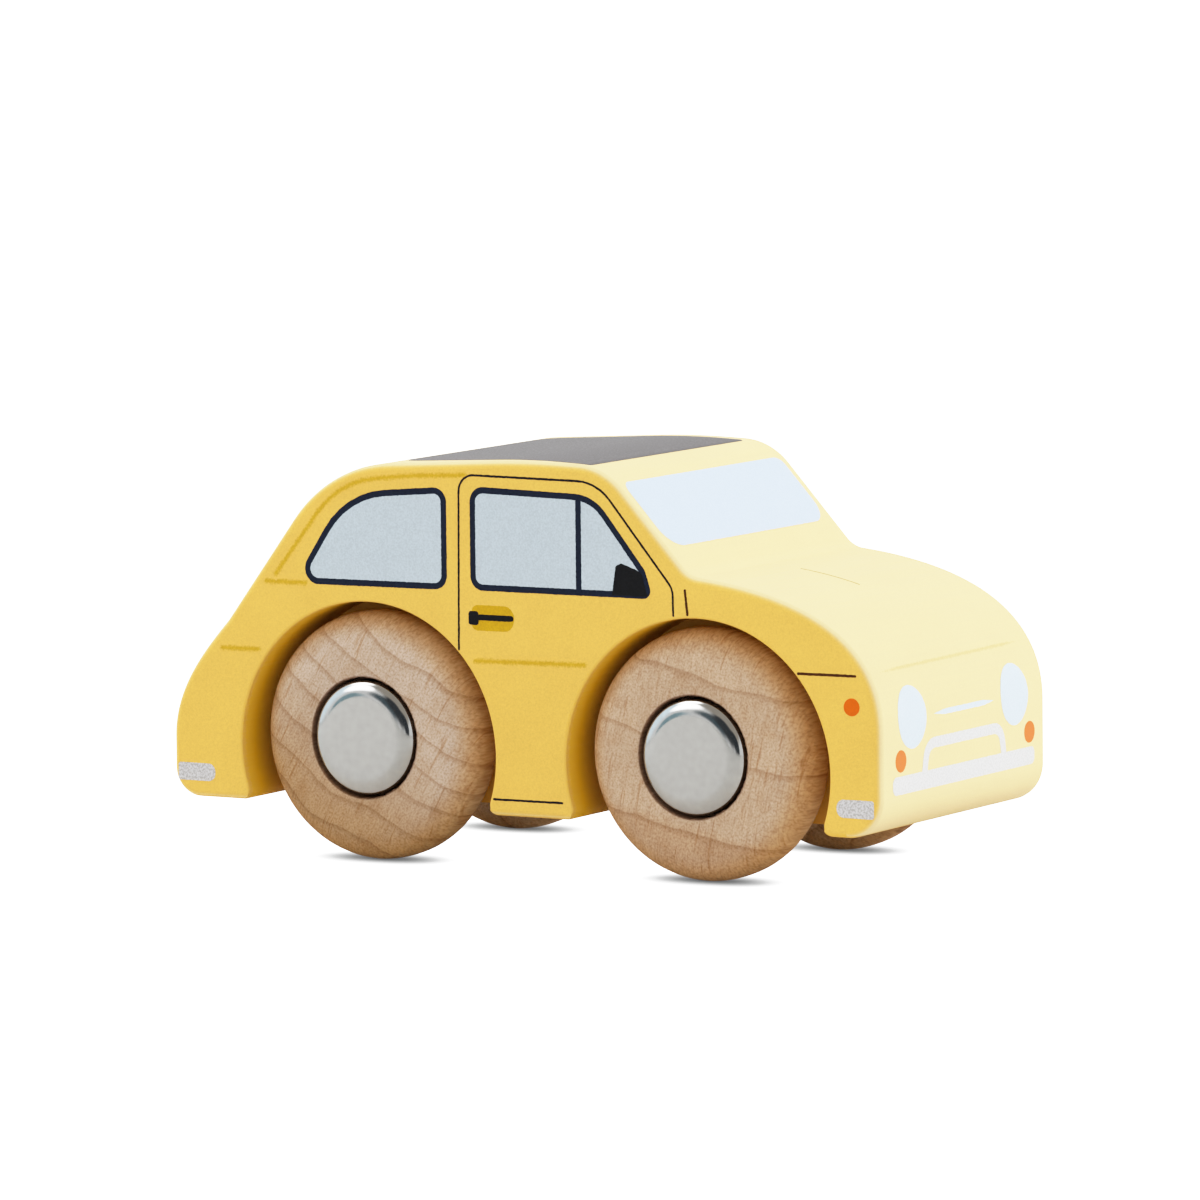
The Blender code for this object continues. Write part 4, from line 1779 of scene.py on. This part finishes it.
@dataclass
class Studio:
    """A pale floor, soft light and the camera at the photograph's place."""

    azimuth: float = math.radians(30.363)
    elevation: float = math.radians(5.964)
    roll: float = math.radians(-0.583)
    distance: float = 1.02099
    aim: tuple[float, float, float] = (-0.00094, 0.00040, 0.02851)
    lens: float = 273.0
    clip_start: float = 0.05
    floor_size: float = 12.0
    floor_drop: float = 0.02
    bounce_drop: float = 0.3
    bounce: tuple[Colour, Colour] = ((0.76, 0.75, 0.73), (0.80, 0.79, 0.77))
    contact_reach: float = 0.0028
    contact_samples: int = 16
    contact: tuple[tuple[float, float], ...] = (
        (0.0, 0.12), (0.2, 0.35), (0.4, 0.7), (0.6, 1.15), (0.75, 1.7), (0.88, 2.4)
    )
    response: tuple[tuple[float, float], ...] = (
        (0.0, 0.0), (0.25, 0.25), (0.5, 0.5), (0.75, 0.69), (1.0, 0.84), (1.41, 0.945), (2.0, 1.0)
    )
    lights: tuple[SoftLight, ...] = (
        SoftLight("window_light", (0.74, 0.84, 0.26), 0.9, 12.0),
        SoftLight("top_light", (-0.34, -0.10, 0.78), 0.34, 3.2),
    )
    sky: Colour = (1.29, 1.31, 1.33)
    zenith: SkyPatch = SkyPatch((0.0, 0.0, 1.0), 20.0, 75.0, (0.76, 0.76, 0.74))
    mirrored: tuple[SkyPatch, ...] = (
        SkyPatch((-0.88, -0.26, 0.38), 10.0, 30.0, (1.5, 1.8, 2.0)),
        SkyPatch((0.38, -0.48, 0.79), 30.0, 44.0, (0.60, 0.55, 0.48)),
        SkyPatch((-0.54, -0.60, 0.58), 10.0, 19.0, (4.6, 4.6, 4.7)),
        SkyPatch((-0.52, -0.20, 0.84), 10.0, 19.0, (4.6, 4.6, 4.7)),
        SkyPatch((-0.62, -0.78, 0.09), 4.0, 10.0, (0.40, 0.60, 0.68)),
        SkyPatch((-0.24, -0.94, 0.24), 7.0, 16.0, (0.12, 0.17, 0.20)),
        SkyPatch((0.10, -0.93, 0.34), 13.0, 22.0, (0.06, 0.07, 0.08)),
        SkyPatch((0.50, -0.84, 0.20), 12.0, 20.0, (0.05, 0.06, 0.07)),
    )

    def build(self) -> None:
        """Sets up the whole studio."""
        self._shown_floor()
        self._bounce_floor()
        self._sky()
        for light in self.lights:
            light.build()
        self._camera()
        self._film()

    def _sheet(self, recipe: Recipe, drop: float) -> bpy.types.Object:
        """A wide flat sheet below the wheels, named like its material.

        Args:
            recipe: The sheet's material.
            drop: How far below the wheels it lies, in millimetres.

        Returns:
            The sheet.
        """
        bpy.ops.object.select_all(action="DESELECT")
        bpy.ops.mesh.primitive_plane_add(size=self.floor_size, location=(0.0, 0.0, -drop * MM))
        sheet = bpy.context.active_object
        sheet.name = recipe.material.name
        sheet.data.materials.append(recipe.material)
        return sheet

    def _shown_floor(self) -> None:
        """The white floor that the camera sees, darker where the wheels touch it."""
        recipe = Recipe("white_floor")
        reach = {"Distance": self.contact_reach}
        # Painted contact shadow: the floor's glow is darkened where ambient occlusion finds the wheels close
        # by.
        contact = recipe.add("AmbientOcclusion", reach, samples=self.contact_samples)
        glow = recipe.ramp(contact.outputs["AO"], [(place, (level,) * 3) for place, level in self.contact])
        recipe.set("Emission Color", glow)
        recipe.set("Emission Strength", 1.0)
        recipe.set("Base Color", (0.0, 0.0, 0.0, 1.0))
        recipe.set("Specular IOR Level", 0.0)
        floor = self._sheet(recipe, self.floor_drop)
        for flag in ("visible_diffuse", "visible_glossy", "visible_transmission", "visible_shadow"):
            setattr(floor, flag, False)

    def _bounce_floor(self) -> None:
        """The pale floor that sends light back up."""
        recipe = Recipe("bounce_floor")
        cloud = recipe.noise((0.002, 0.002, 0.002))
        recipe.set("Base Color", recipe.ramp(cloud, list(zip((0.3, 0.7), self.bounce))))
        self._sheet(recipe, self.bounce_drop).visible_camera = False

    def _sky(self) -> None:
        """Even soft light from all round, and the patches in it that only bright metal mirrors."""
        world = bpy.data.worlds.new("studio")
        world.use_nodes = True
        bpy.context.scene.world = world
        nodes = Nodes(world.node_tree)
        even = self.zenith.laid_over(nodes, (*self.sky, 1.0))
        seen = even
        for patch in self.mirrored:
            seen = patch.laid_over(nodes, seen)
        glossy = nodes.add("LightPath", {}).outputs["Is Glossy Ray"]
        nodes.feed(nodes.mix(glossy, even, seen), nodes.tree.nodes["Background"].inputs["Color"])

    def _camera(self) -> None:
        """The camera at the photograph's angle."""
        level = math.cos(self.elevation)
        side, front = math.cos(self.azimuth) * level, math.sin(self.azimuth) * level
        back = Vector((front, -side, math.sin(self.elevation)))
        bpy.ops.object.camera_add(location=Vector(self.aim) + back * self.distance)
        camera = bpy.context.active_object
        camera.rotation_mode = "QUATERNION"
        roll = Quaternion((0.0, 0.0, 1.0), self.roll)
        camera.rotation_quaternion = (-back).to_track_quat("-Z", "Y") @ roll
        camera.data.lens = self.lens
        camera.data.clip_start = self.clip_start
        bpy.context.scene.camera = camera

    def _film(self) -> None:
        """The photograph's response to light: straight in the shadows, with a soft shoulder."""
        view = bpy.context.scene.view_settings
        view.view_transform = "Standard"
        view.look = "None"
        view.use_curve_mapping = True
        mapping = view.curve_mapping
        white = self.response[-1][0]
        mapping.white_level = (white, white, white)
        curve = mapping.curves[3]
        while len(curve.points) < len(self.response):
            curve.points.new(0.5, 0.5)
        for point, (light, tone) in zip(curve.points, self.response):
            point.location = (light / white, tone)
        mapping.update()


def main() -> None:
    """Builds the car and the studio."""
    logging.basicConfig(level=logging.INFO, format="%(message)s")
    block = BodyBlock(BodyProfile())
    block.build()
    SidePrints(block.half_width).build()
    WrapPrints(block.profile.skin).build()
    RunningGear().build()
    Studio().build()


if __name__ == "__main__":
    main()
